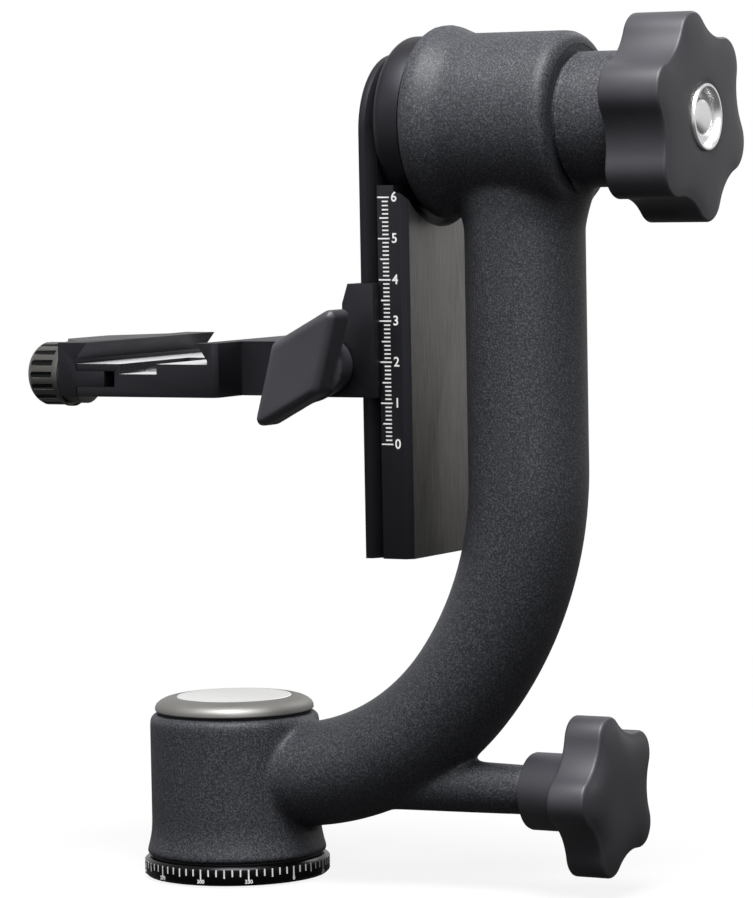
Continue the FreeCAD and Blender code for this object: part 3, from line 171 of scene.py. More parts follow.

# %% [markdown]
# ## Black anodised aluminium
#
# The swing arm, platform and clamp are milled and anodised black. Anodising keeps the metal's
# own satin, with a faint bead-blasted grain, so the colour is dark, the gloss is soft and the
# metal still shows through. The ring is the same metal, polished before it was dyed. The ribs of
# the clamp's knob are a worn warm grey, made lighter still as painted highlight, and its flutes
# take the ring's gloss black as painted shade.

# %% Satin, worn and gloss black anodising, with painted highlight and shade on the clamp knob
def anodised(name, hex_colour, roughness, grain_depth):
    """Dyed metal with a blasted grain and patches of wear."""
    material, shader = new_material(name, hex_colour, 0.75, roughness)
    place = object_place(material)
    blast = noise(material, place, 0.25 * MM, Detail=2.0)
    wear = noise(material, place, 9 * MM, Detail=3.0)
    set_roughness(material, shader, wear, roughness - 0.05, roughness + 0.09)
    set_bump(material, shader, blast, grain_depth, 0.35)
    return material


ANODISED = anodised("black_anodised_aluminium", "#26262b", 0.42, 0.02 * MM)
# Lighter grey for the clamp knob's ribs: wear, and painted highlight on the ribs.
KNOB_WEAR_AND_HIGHLIGHT = anodised("worn_and_highlight_painted_anodised_aluminium", "#605f5c", 0.36, 0.01 * MM)
# Gloss black for the ring, and painted shade in the clamp knob's flutes.
GLOSS_BLACK_AND_FLUTE_SHADE = anodised("gloss_black_anodised_and_flute_shade", "#0f0f11", 0.22, 0.004 * MM)
print("made", ANODISED.name, KNOB_WEAR_AND_HIGHLIGHT.name, GLOSS_BLACK_AND_FLUTE_SHADE.name)

# %% [markdown]
# ## Brushed face of the swing arm
#
# The side of the swing arm that faces the column was brushed along its length after dyeing, so
# it is a warm grey with fine upright streaks. Noise that is stretched forty times along Z gives
# the streaks to colour, roughness and bump alike.

# %% Brushed grey aluminium
def brushed_grey():
    """Bare metal with upright streaks."""
    material, shader = new_material("brushed_grey_aluminium", "#77746f", 0.85, 0.42)
    place = object_place(material)
    stretch = add_node(material, "ShaderNodeMapping", Vector=place, Scale=(1.0, 1.0, 0.025))
    streak = noise(material, stretch.outputs["Vector"], 0.22 * MM, Detail=4.0, Roughness=0.7)
    set_colour(material, shader, streak, [(0.3, "#6c6b69"), (0.5, "#83817e"), (0.7, "#9c9a97")])
    set_roughness(material, shader, streak, 0.36, 0.5)
    set_bump(material, shader, streak, 0.015 * MM, 0.3)
    return material


BRUSHED = brushed_grey()
print("made", BRUSHED.name)

# %% [markdown]
# ## Moulded nylon knobs
#
# The knobs are glass-filled nylon from a spark-eroded mould, which leaves an even satin with a
# very fine orange peel. It isn't a metal, so it keeps a plain white sheen on its edges.

# %% Moulded nylon
def moulded_nylon():
    """Satin nylon with a fine peel and the slow flow lines of the mould."""
    material, shader = new_material("moulded_black_nylon", "#35353a", 0.0, 0.46)
    place = object_place(material)
    peel = noise(material, place, 0.4 * MM, Detail=2.0)
    flow = noise(material, place, 16 * MM, Detail=1.0)
    set_roughness(material, shader, flow, 0.4, 0.52)
    set_colour(material, shader, flow, [(0.3, "#303035"), (0.7, "#3a3a40")])
    set_bump(material, shader, peel, 0.02 * MM, 0.35)
    return material


NYLON = moulded_nylon()
print("made", NYLON.name)

# %% [markdown]
# ## Bright metals
#
# The base cap is satin nickel plate, turned on a lathe, with faint rings round the pan axis. Its
# disc is the same turning left brighter. The big knob's cup is chromed, the floor of the plate
# channel is bare milled metal, and the hidden parts are plain ground steel and brass. Two recipes
# make them all: one with a lathe's rings and one without.

# %% Turned, plated and plain metals
def turned_metal(name, hex_colour, roughness, ring_pitch, ring_depth):
    """Metal with the fine rings of a lathe tool round the Z axis."""
    material, shader = new_material(name, hex_colour, 1.0, roughness)
    place = object_place(material)
    rings = add_node(material, "ShaderNodeTexWave", {"wave_type": "RINGS", "rings_direction": "Z"},
                     Vector=place, Scale=1 / (20 * ring_pitch), Distortion=0.3, Detail=1.0)
    cloud = noise(material, place, 6 * MM, Detail=3.0)
    set_roughness(material, shader, cloud, roughness - 0.06, roughness + 0.08)
    set_bump(material, shader, rings.outputs["Fac"], ring_depth, 0.25)
    return material


def plain_metal(name, hex_colour, roughness):
    """Metal with a faint mottle and no tool marks."""
    material, shader = new_material(name, hex_colour, 1.0, roughness)
    cloud = noise(material, object_place(material), 2.5 * MM, Detail=4.0)
    set_roughness(material, shader, cloud, roughness - 0.05, roughness + 0.1)
    set_bump(material, shader, cloud, 0.01 * MM, 0.2)
    return material


NICKEL = turned_metal("satin_nickel_plate", "#8b8a87", 0.52, 0.3 * MM, 0.004 * MM)
BRIGHT = turned_metal("bright_turned_aluminium", "#f6f6f5", 0.46, 0.25 * MM, 0.003 * MM)
CHROME = plain_metal("chrome_plate", "#f4f4f4", 0.24)
STEEL = plain_metal("ground_steel", "#8e8e90", 0.34)
BRASS = plain_metal("turned_brass", "#b08d4c", 0.3)
MACHINED = plain_metal("bare_milled_aluminium", "#cfcfd1", 0.55)
print("made", [m.name for m in (NICKEL, BRIGHT, CHROME, STEEL, BRASS, MACHINED)])

# %% [markdown]
# ## Ink, painted shadow and white nylon
#
# The scale and the ring's marks are screen-printed with white epoxy ink, which is matt and a
# little uneven. The black under the cap's rim is painted shadow, a matt black where the gap is
# in shade, and the brake pad inside is plain white nylon. None is a metal, so one recipe serves,
# with the size of its patches as a choice.

# %% Matt materials
def matt(name, hex_colour, roughness, patch):
    """A dull material whose gloss changes from patch to patch."""
    material, shader = new_material(name, hex_colour, 0.0, roughness)
    cloud = noise(material, object_place(material), patch, Detail=3.0)
    set_roughness(material, shader, cloud, roughness - 0.1, roughness + 0.1)
    set_bump(material, shader, cloud, 0.01 * MM, 0.2)
    return material


# Matt black painted as the shadow in the gap under the cap's rim.
GAP_SHADOW_BLACK = matt("painted_gap_shadow_black", "#0a0a0b", 0.8, 1 * MM)
INK = matt("white_epoxy_ink", "#f2f2f0", 0.5, 0.8 * MM)
WHITE_NYLON = matt("white_nylon", "#dcdcd6", 0.45, 3 * MM)
print("made", [m.name for m in (GAP_SHADOW_BLACK, INK, WHITE_NYLON)])

# %% [markdown]
# ## Finishes for the pieces that keep their solid
#
# Bearings, shafts, screws and washers inside the head are plain turned parts, and their solids
# already have the right shape. Each keeps its solid and gets its metal or plastic.

# %% Put a finish on each kept solid
KEPT = {
    STEEL: ["base_screws", "thread_insert", "pan_spindle", "pan_bearing_lower",
            "pan_bearing_upper", "spindle_nut", "pan_lock_screw", "tilt_bearing_left",
            "tilt_bearing_right", "tilt_shaft", "tilt_shaft_screws", "tilt_thrust_washer",
            "rail_jaw_dowels", "wing_stud", "clamp_guide_pins", "clamp_spring", "clamp_screw"],
    NYLON: ["pan_glide_washer", "tilt_glide_washer"],
    WHITE_NYLON: ["pan_brake_pad"],
    BRASS: ["tilt_knob_bush"],
}


def set_finish(piece, material):
    """One finish over the whole piece."""
    piece.data.materials.clear()
    piece.data.materials.append(material)


def second_finish(piece, material, test):
    """Another finish on the faces whose middle and normal pass a test."""
    piece.data.materials.append(material)
    for face in piece.data.polygons:
        face.material_index = int(test(face.center, face.normal))
    count = sum(face.material_index for face in piece.data.polygons)
    print(piece.name, "has", count, "faces in", material.name)


for material, names in KEPT.items():
    for name in names:
        set_finish(nodes[name], material)
print("kept", sum(len(names) for names in KEPT.values()), "solids")

# %% [markdown]
# ## Taking a solid as the start of a piece
#
# A milled block is never truly sharp: its edges are broken by a tenth or two of a millimetre,
# and those edges are what catch the light. So a solid is copied, its loose triangles are merged
# into whole faces, and a bevel modifier that looks for sharp angles breaks every edge at once.

# %% Copy, merge, join and bevel
def only(piece):
    """Select one piece and nothing else."""
    bpy.ops.object.select_all(action="DESELECT")
    piece.select_set(True)
    bpy.context.view_layer.objects.active = piece


def apply_modifier(piece, kind, **settings):
    """Add a modifier with its settings and make its result the piece's own mesh."""
    only(piece)
    modifier = piece.modifiers.new(kind.lower(), kind)
    for name, value in settings.items():
        setattr(modifier, name, value)
    bpy.ops.object.modifier_apply(modifier=modifier.name)


def merged_copy(node, name):
    """A new piece from a solid's mesh, with its triangles joined into faces again."""
    piece = bpy.data.objects.new(name, nodes[node].data.copy())
    bpy.context.scene.collection.objects.link(piece)
    only(piece)
    bpy.ops.object.mode_set(mode="EDIT")
    bpy.ops.mesh.select_all(action="SELECT")
    bpy.ops.mesh.remove_doubles(threshold=0.002 * MM)
    bpy.ops.mesh.customdata_custom_splitnormals_clear()
    bpy.ops.mesh.dissolve_limited(angle_limit=math.radians(0.4))
    bpy.ops.object.mode_set(mode="OBJECT")
    return piece


def joined(pieces, name):
    """Several pieces as one, under a new name."""
    bpy.ops.object.select_all(action="DESELECT")
    for piece in pieces:
        piece.select_set(True)
    bpy.context.view_layer.objects.active = pieces[0]
    bpy.ops.object.join()
    piece = bpy.context.active_object
    piece.name = name
    return piece


def place_piece(piece, body, slot, *replaced):
    """Tie a finished piece to its body and hide the solids that it stands for. The slot is not
    used.
    """
    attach(piece, body)
    if replaced:
        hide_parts(*replaced)
    print(piece.name, "has", len(piece.data.polygons), "faces")


def complete(piece, degrees, material, body, slot, node):
    """Shade a piece smooth up to an angle, give it its finish and put it in its solid's stead."""
    only(piece)
    bpy.ops.object.shade_smooth_by_angle(angle=math.radians(degrees))
    set_finish(piece, material)
    place_piece(piece, body, slot, node)


def broken_edges(node, body, slot, material, width):
    """A solid's copy with its edges broken by a width in mm, in one finish."""
    piece = merged_copy(node, node + "_finished")
    apply_modifier(piece, "BEVEL", width=width * MM, segments=2, limit_method="ANGLE",
                   angle_limit=math.radians(28), harden_normals=False)
    complete(piece, 35, material, body, slot, node)
    return piece


# %% Work on a mesh and turn it about an axis
def to_edit(piece, what="VERT"):
    """Open a piece for editing with everything in it selected."""
    only(piece)
    bpy.ops.object.mode_set(mode="EDIT")
    bpy.ops.mesh.select_mode(type=what)
    bpy.ops.mesh.select_all(action="SELECT")


def face_outward():
    """Turn every face of the open piece to look outward."""
    bpy.ops.mesh.select_all(action="SELECT")
    bpy.ops.mesh.normals_make_consistent(inside=False)


def turn_to(piece, radius, height):
    """Extrude the chosen face into a round one of a radius at a height, as on a lathe."""
    bpy.ops.mesh.extrude_region()
    bpy.ops.transform.tosphere(value=1.0)
    bpy.ops.object.mode_set(mode="OBJECT")
    rim = [vertex.co for vertex in piece.data.vertices if vertex.select]
    bpy.ops.object.mode_set(mode="EDIT")
    scale = radius * MM / max(Vector((point.x, point.y)).length for point in rim)
    rise = height * MM - rim[0].z
    bpy.ops.transform.resize(value=(scale, scale, 1), center_override=(0, 0, 0))
    bpy.ops.transform.translate(value=(0, 0, rise))


def turned_shape(name, sides, profile):
    """A round piece about Z, from (radius, height) steps in mm that start at a filled circle."""
    radius, height = profile[0]
    bpy.ops.mesh.primitive_circle_add(vertices=sides, radius=radius * MM, fill_type="NGON",
                                      location=(0, 0, height * MM))
    piece = bpy.context.active_object
    piece.name = name
    bpy.ops.object.transform_apply(location=True)
    to_edit(piece, "FACE")
    for radius, height in profile[1:]:
        turn_to(piece, radius, height)
    face_outward()
    bpy.ops.object.mode_set(mode="OBJECT")
    return piece


def lay_on_x(piece, start, height):
    """Turn a piece made along Z so that its axis runs along X, and put it in its place in mm."""
    bpy.ops.object.mode_set(mode="OBJECT")
    piece.data.transform(Matrix((
        (0, 0, 1, start * MM), (1, 0, 0, 0), (0, 1, 0, height * MM), (0, 0, 0, 1))))
    piece.data.update()


# %% [markdown]
# ## The casting
#
# The arm is one aluminium casting. Sand and molten metal leave no sharp corner, so where the
# bend meets the barrel and the boss meets the bend the surface flows over. Bevels can't follow
# such crossings, so the solid's copy is rebuilt from small cubes by a Remesh modifier, which
# joins everything into one skin, and a Smooth modifier then melts the corners.

# %% Cast arm
def melt(piece, cube, passes):
    """Rebuild a piece as one skin of cubes of a size in mm, and round its corners off."""
    apply_modifier(piece, "REMESH", mode="VOXEL", voxel_size=cube * MM, use_smooth_shade=True)
    apply_modifier(piece, "SMOOTH", factor=0.5, iterations=passes)
    print(piece.name, "melted into", len(piece.data.polygons), "faces")


casting = merged_copy("main_arm", "cast_arm")
melt(casting, 0.8, 8)

# %% [markdown]
# The neck behind the tilt knob has a narrow groove that was turned after casting, so it stays
# crisp. A ring with a rectangular section is drawn from a circle and cut out of the skin.

# %% Turned groove at the neck
GROOVE_FLOOR = 15.3
GROOVE_START = 100.4
GROOVE_WIDTH = 1.3
PAST_NECK = 1.2

bpy.ops.mesh.primitive_circle_add(vertices=96, radius=GROOVE_FLOOR * MM, fill_type="NOTHING")
cutter = bpy.context.active_object
to_edit(cutter, "EDGE")
bpy.ops.mesh.extrude_edges_move()
bpy.ops.transform.resize(value=(PAST_NECK, PAST_NECK, 1), center_override=(0, 0, 0))
bpy.ops.mesh.select_all(action="SELECT")
bpy.ops.mesh.extrude_region()
bpy.ops.transform.translate(value=(0, 0, GROOVE_WIDTH * MM))
face_outward()
lay_on_x(cutter, GROOVE_START, TILT_HEIGHT)
apply_modifier(casting, "BOOLEAN", object=cutter, operation="DIFFERENCE", solver="EXACT")
bpy.data.objects.remove(cutter)
complete(casting, 50, POWDER, "arm", "cast_black", "main_arm")

# %% [markdown]
# ## Milled and turned pieces
#
# The platform, its jaws, the base ring and the clamp's knob only need their edges broken. The
# floor of the plate channel is bare where plates have rubbed the dye away, and the flutes of the
# knob, which are the faces between its ribs nearer to its axis, take gloss black as painted shade.

# %% Platform, jaws, ring and clamp knob
CHANNEL_FLOOR = (127.5, 131.4)
CHANNEL_END = 13
FLUTE_RADIUS = 7.95
FLUTE_ENDS = (-54.0, -47.3)


def on_channel_floor(middle, normal):
    """Whether a face of the platform looks up from the floor that plates slide on."""
    low, high = CHANNEL_FLOOR
    return normal.z > 0.7 and low * MM < middle.z < high * MM and middle.x < CHANNEL_END * MM


def in_flute(middle, normal):
    """Whether a face of the clamp knob lies between two ribs, where gloss black is painted shade.
    """
    from_axis = math.hypot(middle.y, middle.z - CLAMP_HEIGHT * MM)
    return from_axis < FLUTE_RADIUS * MM and FLUTE_ENDS[0] * MM < middle.x < FLUTE_ENDS[1] * MM


platform = broken_edges("platform", "platform", "anodised_black", ANODISED, 0.3)
second_finish(platform, MACHINED, on_channel_floor)
broken_edges("rail_jaw", "rail_jaw", "anodised_black", ANODISED, 0.3)
broken_edges("clamp_jaw", "clamp_jaw", "anodised_black", ANODISED, 0.3)
broken_edges("base_ring", "base", "ring_black", GLOSS_BLACK_AND_FLUTE_SHADE, 0.2)
clamp_knob = broken_edges("clamp_knob", "clamp_lock", "anodised_black", KNOB_WEAR_AND_HIGHLIGHT, 0.12)
# The flutes get gloss black as the painted shade in them.
second_finish(clamp_knob, GLOSS_BLACK_AND_FLUTE_SHADE, in_flute)

# %% [markdown]
# ## Wing knob
#
# The wing knob is moulded, with soft corners everywhere, so it is melted like the casting but
# from finer cubes. A cone joined to it first fills the hub out. Melting shrinks thin wings, and a
# real knob's wings are wider than the solid's, so the result is stretched about the knob's axis,
# which runs along Y.

# %% Wing knob, with the soft corners of a moulding
WING_X = 42.0
HUB_FACE, HUB_FACE_RADIUS = -22.7, 6.5
HUB_ROOT, HUB_ROOT_RADIUS = -32.0, 8.2
WING_STRETCH = (1.12, 1.0, 1.07)

wing_knob = merged_copy("wing_lock_knob", "wing_knob")
bpy.ops.object.select_all(action="DESELECT")
bpy.ops.mesh.primitive_cone_add(
    vertices=96, radius1=HUB_ROOT_RADIUS * MM, radius2=HUB_FACE_RADIUS * MM,
    depth=(HUB_FACE - HUB_ROOT) * MM,
    location=(WING_X * MM, (HUB_FACE + HUB_ROOT) / 2 * MM, WING_HEIGHT * MM),
    rotation=(-math.pi / 2, 0, 0))
hub = bpy.context.active_object
wing_knob = joined([wing_knob, hub], "wing_knob")
melt(wing_knob, 0.4, 14)
to_edit(wing_knob)
bpy.ops.transform.resize(value=WING_STRETCH, center_override=(WING_X * MM, 0, WING_HEIGHT * MM))
bpy.ops.object.mode_set(mode="OBJECT")
complete(wing_knob, 60, NYLON, "wing_lock", "knob_plastic", "wing_lock_knob")

# %% [markdown]
# ## Cap and disc
#
# The cap on the barrel and the disc in it are turned about the pan axis. Each profile starts
# under the middle, goes out and up round the rim, and comes in again over the top. The upright
# faces in the step under the cap's rim are painted black, as the shadow in that gap.

# %% Cap and disc, turned
RIM_HEIGHT = 41.85

base_cap = turned_shape("nickel_cap", 128, (
    (14.2, 38.1), (14.2, 41.1), (19.3, 41.1), (19.3, 41.8), (20.0, 41.8), (20.15, 42.0),
    (20.15, 42.7), (19.8, 43.45), (19.0, 44.15), (17.8, 44.75), (16.5, 45.1), (15.5, 45.25),
    (14.95, 45.3), (14.75, 45.2), (14.65, 44.9)))
complete(base_cap, 35, NICKEL, "arm", "nickel", "base_cap")
# The upright faces under the rim get the painted shadow black.
second_finish(base_cap, GAP_SHADOW_BLACK, lambda middle, normal:
              middle.z < RIM_HEIGHT * MM and abs(normal.z) < 0.1)
cap_disc = turned_shape("bright_disc", 128, (
    (14.6, 44.6), (14.6, 45.2), (14.4, 45.35), (14.1, 45.4)))
complete(cap_disc, 35, BRIGHT, "arm", "bright_disc", "cap_disc")

# %% Swing arm, with one brushed side
swing_arm = broken_edges("swing_arm", "swing", "anodised_black", ANODISED, 0.3)
right_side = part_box("swing_arm")[1].x
second_finish(swing_arm, BRUSHED, lambda middle, normal:
              normal.x > 0.9 and middle.x > right_side - 0.3 * MM)

# %% [markdown]
# ## Lobed knobs
#
# A moulded star knob is a row of round lobes with hollows between them, a rounded rim and a
# slightly domed face. One tip arc and one hollow arc are drawn by spinning a single point, once
# about the tip's centre and once, the other way, about the hollow's. Copies of the pair close
# the outline. It is then filled and extruded. Further extrudes draw the front face in and make
# it rounder for the dome, and turn the back face, once it is a circle, into the knob's hub.

# %% Outline of a lobed knob
def lobe_arcs(radius, waist, tip, lobes):
    """Centres and half angles of a tip arc on +X and of the hollow arc that follows it."""
    step = math.pi / lobes
    reach = radius - tip
    lean = reach * math.cos(step)
    hollow = (tip ** 2 - reach ** 2 - waist ** 2 + 2 * waist * lean) / (2 * (waist - lean - tip))
    tip_centre = Vector((reach, 0, 0))
    hollow_centre = Vector((math.cos(step), math.sin(step), 0)) * (waist + hollow)
    across = hollow_centre - tip_centre
    tip_half = math.atan2(across.y, across.x)
    return tip_centre, hollow_centre, tip_half, tip_half - step


def draw_lobes(name, radius, waist, tip, lobes, phase):
    """A closed lobed outline in the XY plane, filled with one face."""
    tip_centre, hollow_centre, tip_half, hollow_half = lobe_arcs(radius, waist, tip, lobes)
    first = Matrix.Rotation(phase, 4, "Z")
    start = tip_centre + Vector((math.cos(tip_half), -math.sin(tip_half), 0)) * tip
    mesh = bpy.data.meshes.new(name)
    mesh.from_pydata([first @ start], [], [])
    piece = bpy.data.objects.new(name, mesh)
    bpy.context.scene.collection.objects.link(piece)
    to_edit(piece)
    for number in range(lobes):
        turned = Matrix.Rotation(phase + 2 * math.pi / lobes * number, 4, "Z")
        for steps, angle, centre in ((12, 2 * tip_half, tip_centre),
                                     (14, -2 * hollow_half, hollow_centre)):
            bpy.ops.mesh.spin(steps=steps, angle=angle, center=turned @ centre, axis=(0, 0, -1))
    bpy.ops.mesh.select_all(action="SELECT")
    bpy.ops.mesh.remove_doubles(threshold=0.01 * MM)
    bpy.ops.mesh.edge_face_add()
    return piece


# %% Pull faces out and draw them in
LEVEL = 1e-6


def pick(piece, kind, test):
    """Select the faces ("polygons") or "edges" that pass a test, in edit mode."""
    bpy.ops.mesh.select_all(action="DESELECT")
    bpy.ops.object.mode_set(mode="OBJECT")
    for item in getattr(piece.data, kind):
        item.select = test(item)
    bpy.ops.object.mode_set(mode="EDIT")


def pick_rims(piece):
    """Select the edges that lie level, which are the outlines of the two end faces."""
    def is_level(edge):
        one, two = (piece.data.vertices[number].co.z for number in edge.vertices)
        return abs(one - two) < LEVEL
    pick(piece, "edges", is_level)


def pick_end(piece, side):
    """Select the flat end face on one side, +1 for the front and -1 for the back."""
    end = max(side * vertex.co.z for vertex in piece.data.vertices)
    pick(piece, "polygons", lambda face:
         side * face.normal.z > 0.99 and side * face.center.z > end - LEVEL)


def lobed_body(name, outline, thickness, edge):
    """The lobed block with both rims rounded, with its back at height 0 and sizes in mm.

    The outline is a radius, the waist's and the tips' radius, a count of lobes and a phase.
    """
    radius, waist, tip, lobes, phase = outline
    piece = draw_lobes(name, radius * MM, waist * MM, tip * MM, lobes, math.radians(phase))
    bpy.ops.mesh.extrude_region()
    bpy.ops.transform.translate(value=(0, 0, thickness * MM))
    bpy.ops.mesh.select_mode(type="EDGE")
    pick_rims(piece)
    bpy.ops.mesh.bevel(offset=edge * MM, segments=5, profile=0.5, affect="EDGES")
    face_outward()
    bpy.ops.mesh.select_mode(type="FACE")
    return piece


def dome(piece, steps):
    """Extrude the front face by (scale, rise in mm, roundness) steps, drawn in to the axis."""
    pick_end(piece, 1)
    for scale, rise, roundness in steps:
        bpy.ops.mesh.extrude_region()
        bpy.ops.transform.resize(value=(scale, scale, 1), center_override=(0, 0, 0))
        bpy.ops.transform.tosphere(value=roundness)
        bpy.ops.transform.translate(value=(0, 0, rise * MM))


def turn_back(piece, profile):
    """Turn the back face into a hub, by (radius, height) steps in mm."""
    pick_end(piece, -1)
    for radius, height in profile:
        turn_to(piece, radius, height)


# %% Pan lock knob
PAN_KNOB_BACK = 98.4

pan_knob = lobed_body("pan_knob", (20.4, 15.8, 6.0, 5, 36.0), 10.0, 0.9)
dome(pan_knob, ((0.93, 0.42, 0.05), (0.9, 0.36, 0.15), (0.86, 0.28, 0.3), (0.8, 0.2, 0.6),
                (0.7, 0.1, 1.0), (0.5, 0.03, 1.0)))
turn_back(pan_knob, ((11.3, 0.0), (10.6, -0.3), (10.3, -1.0), (10.3, -12.3), (10.1, -12.8),
                     (9.5, -13.1), (3.1, -13.1), (3.1, -11.0)))
lay_on_x(pan_knob, PAN_KNOB_BACK, PAN_LOCK_HEIGHT)
complete(pan_knob, 40, NYLON, "pan_lock", "knob_plastic", "pan_lock_knob")

# %% Tilt lock knob, with a socket in its face
TILT_KNOB_BACK = 116.8

tilt_knob = lobed_body("tilt_knob", (25.4, 21.0, 7.2, 6, 41.0), 16.0, 0.8)
dome(tilt_knob, ((0.95, 0.25, 0.02), (0.92, 0.25, 0.1), (0.88, 0.2, 0.25), (0.84, 0.15, 0.5)))
for radius, height in ((12.5, 16.95), (10.0, 17.0), (8.6, 16.95), (8.1, 16.7), (8.1, 14.55)):
    turn_to(tilt_knob, radius, height)
turn_back(tilt_knob, ((14.9, 0.0), (14.4, -0.3), (14.4, -0.9), (12.8, -0.9), (12.8, -6.2),
                      (8.9, -6.2), (8.9, -1.0)))
lay_on_x(tilt_knob, TILT_KNOB_BACK, TILT_HEIGHT)
complete(tilt_knob, 40, NYLON, "tilt_lock", "knob_plastic", "tilt_lock_knob")

# %% [markdown]
# ## Chrome cup
#
# A chromed cup sits in the socket of the big knob's face, and a domed screw head fills its
# bottom. It is turned like the cap: up its wall, over its rounded lip, down inside and up again
# over the screw.

# %% Cup and screw head
CUP_BACK = 131.4

cup = turned_shape("knob_cup", 72, (
    (8.0, 0.0), (8.0, 2.8), (7.85, 3.03), (7.6, 3.1), (7.3, 3.05), (7.05, 2.8), (6.4, 1.0),
    (6.4, 0.6), (4.7, 0.6), (4.6, 1.3), (4.3, 1.75), (3.6, 2.2), (2.6, 2.5), (1.4, 2.65),
    (0.5, 2.68)))
lay_on_x(cup, CUP_BACK, TILT_HEIGHT)
complete(cup, 35, CHROME, "tilt_lock", "chrome", "tilt_knob_cap")

# %% [markdown]
# ## Printed marks
#
# The ring is graduated every 5 degrees, with a taller mark at 15 and a number at 30. The swing
# arm carries a 6 cm scale that shows how far the platform has slid. A short bar is modelled for
# each length of mark and copied, and the numbers are text turned into mesh. Each mark stands a
# few hundredths of a millimetre proud, as ink does.

# %% Bars and numbers
INK_DEPTH = 0.2


def printed_bar(name, width, height):
    """An upright bar of ink in the XZ plane that faces -Y, with its face on Y = 0."""
    bpy.ops.mesh.primitive_cube_add(size=1.0)
    bar = bpy.context.active_object
    bar.name = name
    bar.scale = (width * MM, INK_DEPTH * MM, height * MM)
    bar.location = (0, INK_DEPTH / 2 * MM, 0)
    bpy.ops.object.transform_apply(location=True, rotation=True, scale=True)
    return bar


def copy_to(piece, matrix):
    """A copy with its own mesh, moved there for good."""
    twin = bpy.data.objects.new(piece.name, piece.data.copy())
    bpy.context.scene.collection.objects.link(twin)
    twin.data.transform(matrix)
    return twin


def printed_text(body, size, matrix):
    """A number in the XZ plane that faces -Y, centred, as mesh."""
    bpy.ops.object.text_add()
    text = bpy.context.active_object
    text.data.body = body
    text.data.size = size * MM
    text.data.align_x = "CENTER"
    text.data.align_y = "CENTER"
    text.data.extrude = INK_DEPTH / 2 * MM
    text.data.offset = 0.05 * MM
    bpy.ops.object.convert(target="MESH")
    text = bpy.context.active_object
    upright = Matrix.Translation((0, INK_DEPTH / 2 * MM, 0)) \
        @ Matrix.Rotation(math.radians(90), 4, "X")
    text.data.transform(matrix @ upright)
    return text


def mark_rank(number, middle_every, long_every):
    """0 for a short mark, 1 for a middle one and 2 for a long one."""
    return 2 if number % long_every == 0 else 1 if number % middle_every == 0 else 0


def print_all(marks, bars, name, body):
    """Join the marks and numbers into one printed piece. The bars that were copied go."""
    for bar in bars:
        bpy.data.objects.remove(bar)
    printed = joined(marks, name)
    set_finish(printed, INK)
    place_piece(printed, body, "white_plastic")


# %% Marks round the ring
RING_FACE = 23.53
RING_EDGE = 4.15
RING_LENGTHS = (1.7, 2.1, 2.5)
RING_NUMBERS_HEIGHT = 1.12
PHASE = -22.5


def round_place(degrees, radius, height):
    """Where a mark goes that faces away from the pan axis."""
    angle = math.radians(degrees)
    across = (radius * math.cos(angle) * MM, radius * math.sin(angle) * MM, height * MM)
    return Matrix.Translation(across) @ Matrix.Rotation(angle + math.pi / 2, 4, "Z")


bars = [printed_bar("ring_mark", 0.38, length) for length in RING_LENGTHS]
marks = []
for number in range(72):
    rank = mark_rank(number, 3, 6)
    middle_height = RING_EDGE - RING_LENGTHS[rank] / 2
    marks.append(copy_to(bars[rank], round_place(PHASE + 5 * number, RING_FACE, middle_height)))
for number in range(12):
    place = round_place(PHASE + 30 * number, RING_FACE + 0.02, RING_NUMBERS_HEIGHT)
    marks.append(printed_text(str(30 * number), 1.3, place))
print_all(marks, bars, "ring_marks", "base")

# %% Scale on the swing arm
SCALE_FACE = -19.03
SCALE_ZERO = 111.2
SCALE_LENGTHS = (1.7, 2.4, 3.2)
SCALE_ENDS = (57.6, 57.6, 57.9)
SCALE_NUMBERS_X = 59.2


def scale_place(middle, millimetre):
    """Where a mark goes whose middle is at an X, so many millimetres up the scale."""
    return Matrix.Translation((middle * MM, SCALE_FACE * MM, (SCALE_ZERO + millimetre) * MM))


bars = [printed_bar("scale_mark", length, 0.36) for length in SCALE_LENGTHS]
marks = []
for number in range(61):
    rank = mark_rank(number, 5, 10)
    middle = SCALE_ENDS[rank] - SCALE_LENGTHS[rank] / 2
    marks.append(copy_to(bars[rank], scale_place(middle, number)))
for number in range(7):
    marks.append(printed_text(str(number), 3.3, scale_place(SCALE_NUMBERS_X, 10 * number)))
print_all(marks, bars, "arm_scale", "swing")

# %% [markdown]
# ## Camera
#
# A long lens far away keeps the upright lines nearly parallel. Its focal length is in pixels of
# the render. One point of the part, AIM, is held on one pixel, and the scale there gives the
# distance. The camera looks from the right and a little above, and is rolled by about a degree.

# %% Camera
IMAGE = (753, 898)
FOCAL = 4500.0
AIM = Vector((45.0, 0.0, 110.0)) * MM
AIM_PIXEL = (384.7, 443.4)
PIXELS_PER_MM = 4.03
AZIMUTH = math.radians(29.0)
ELEVATION = math.radians(3.8)
ROLL = math.radians(1.06)


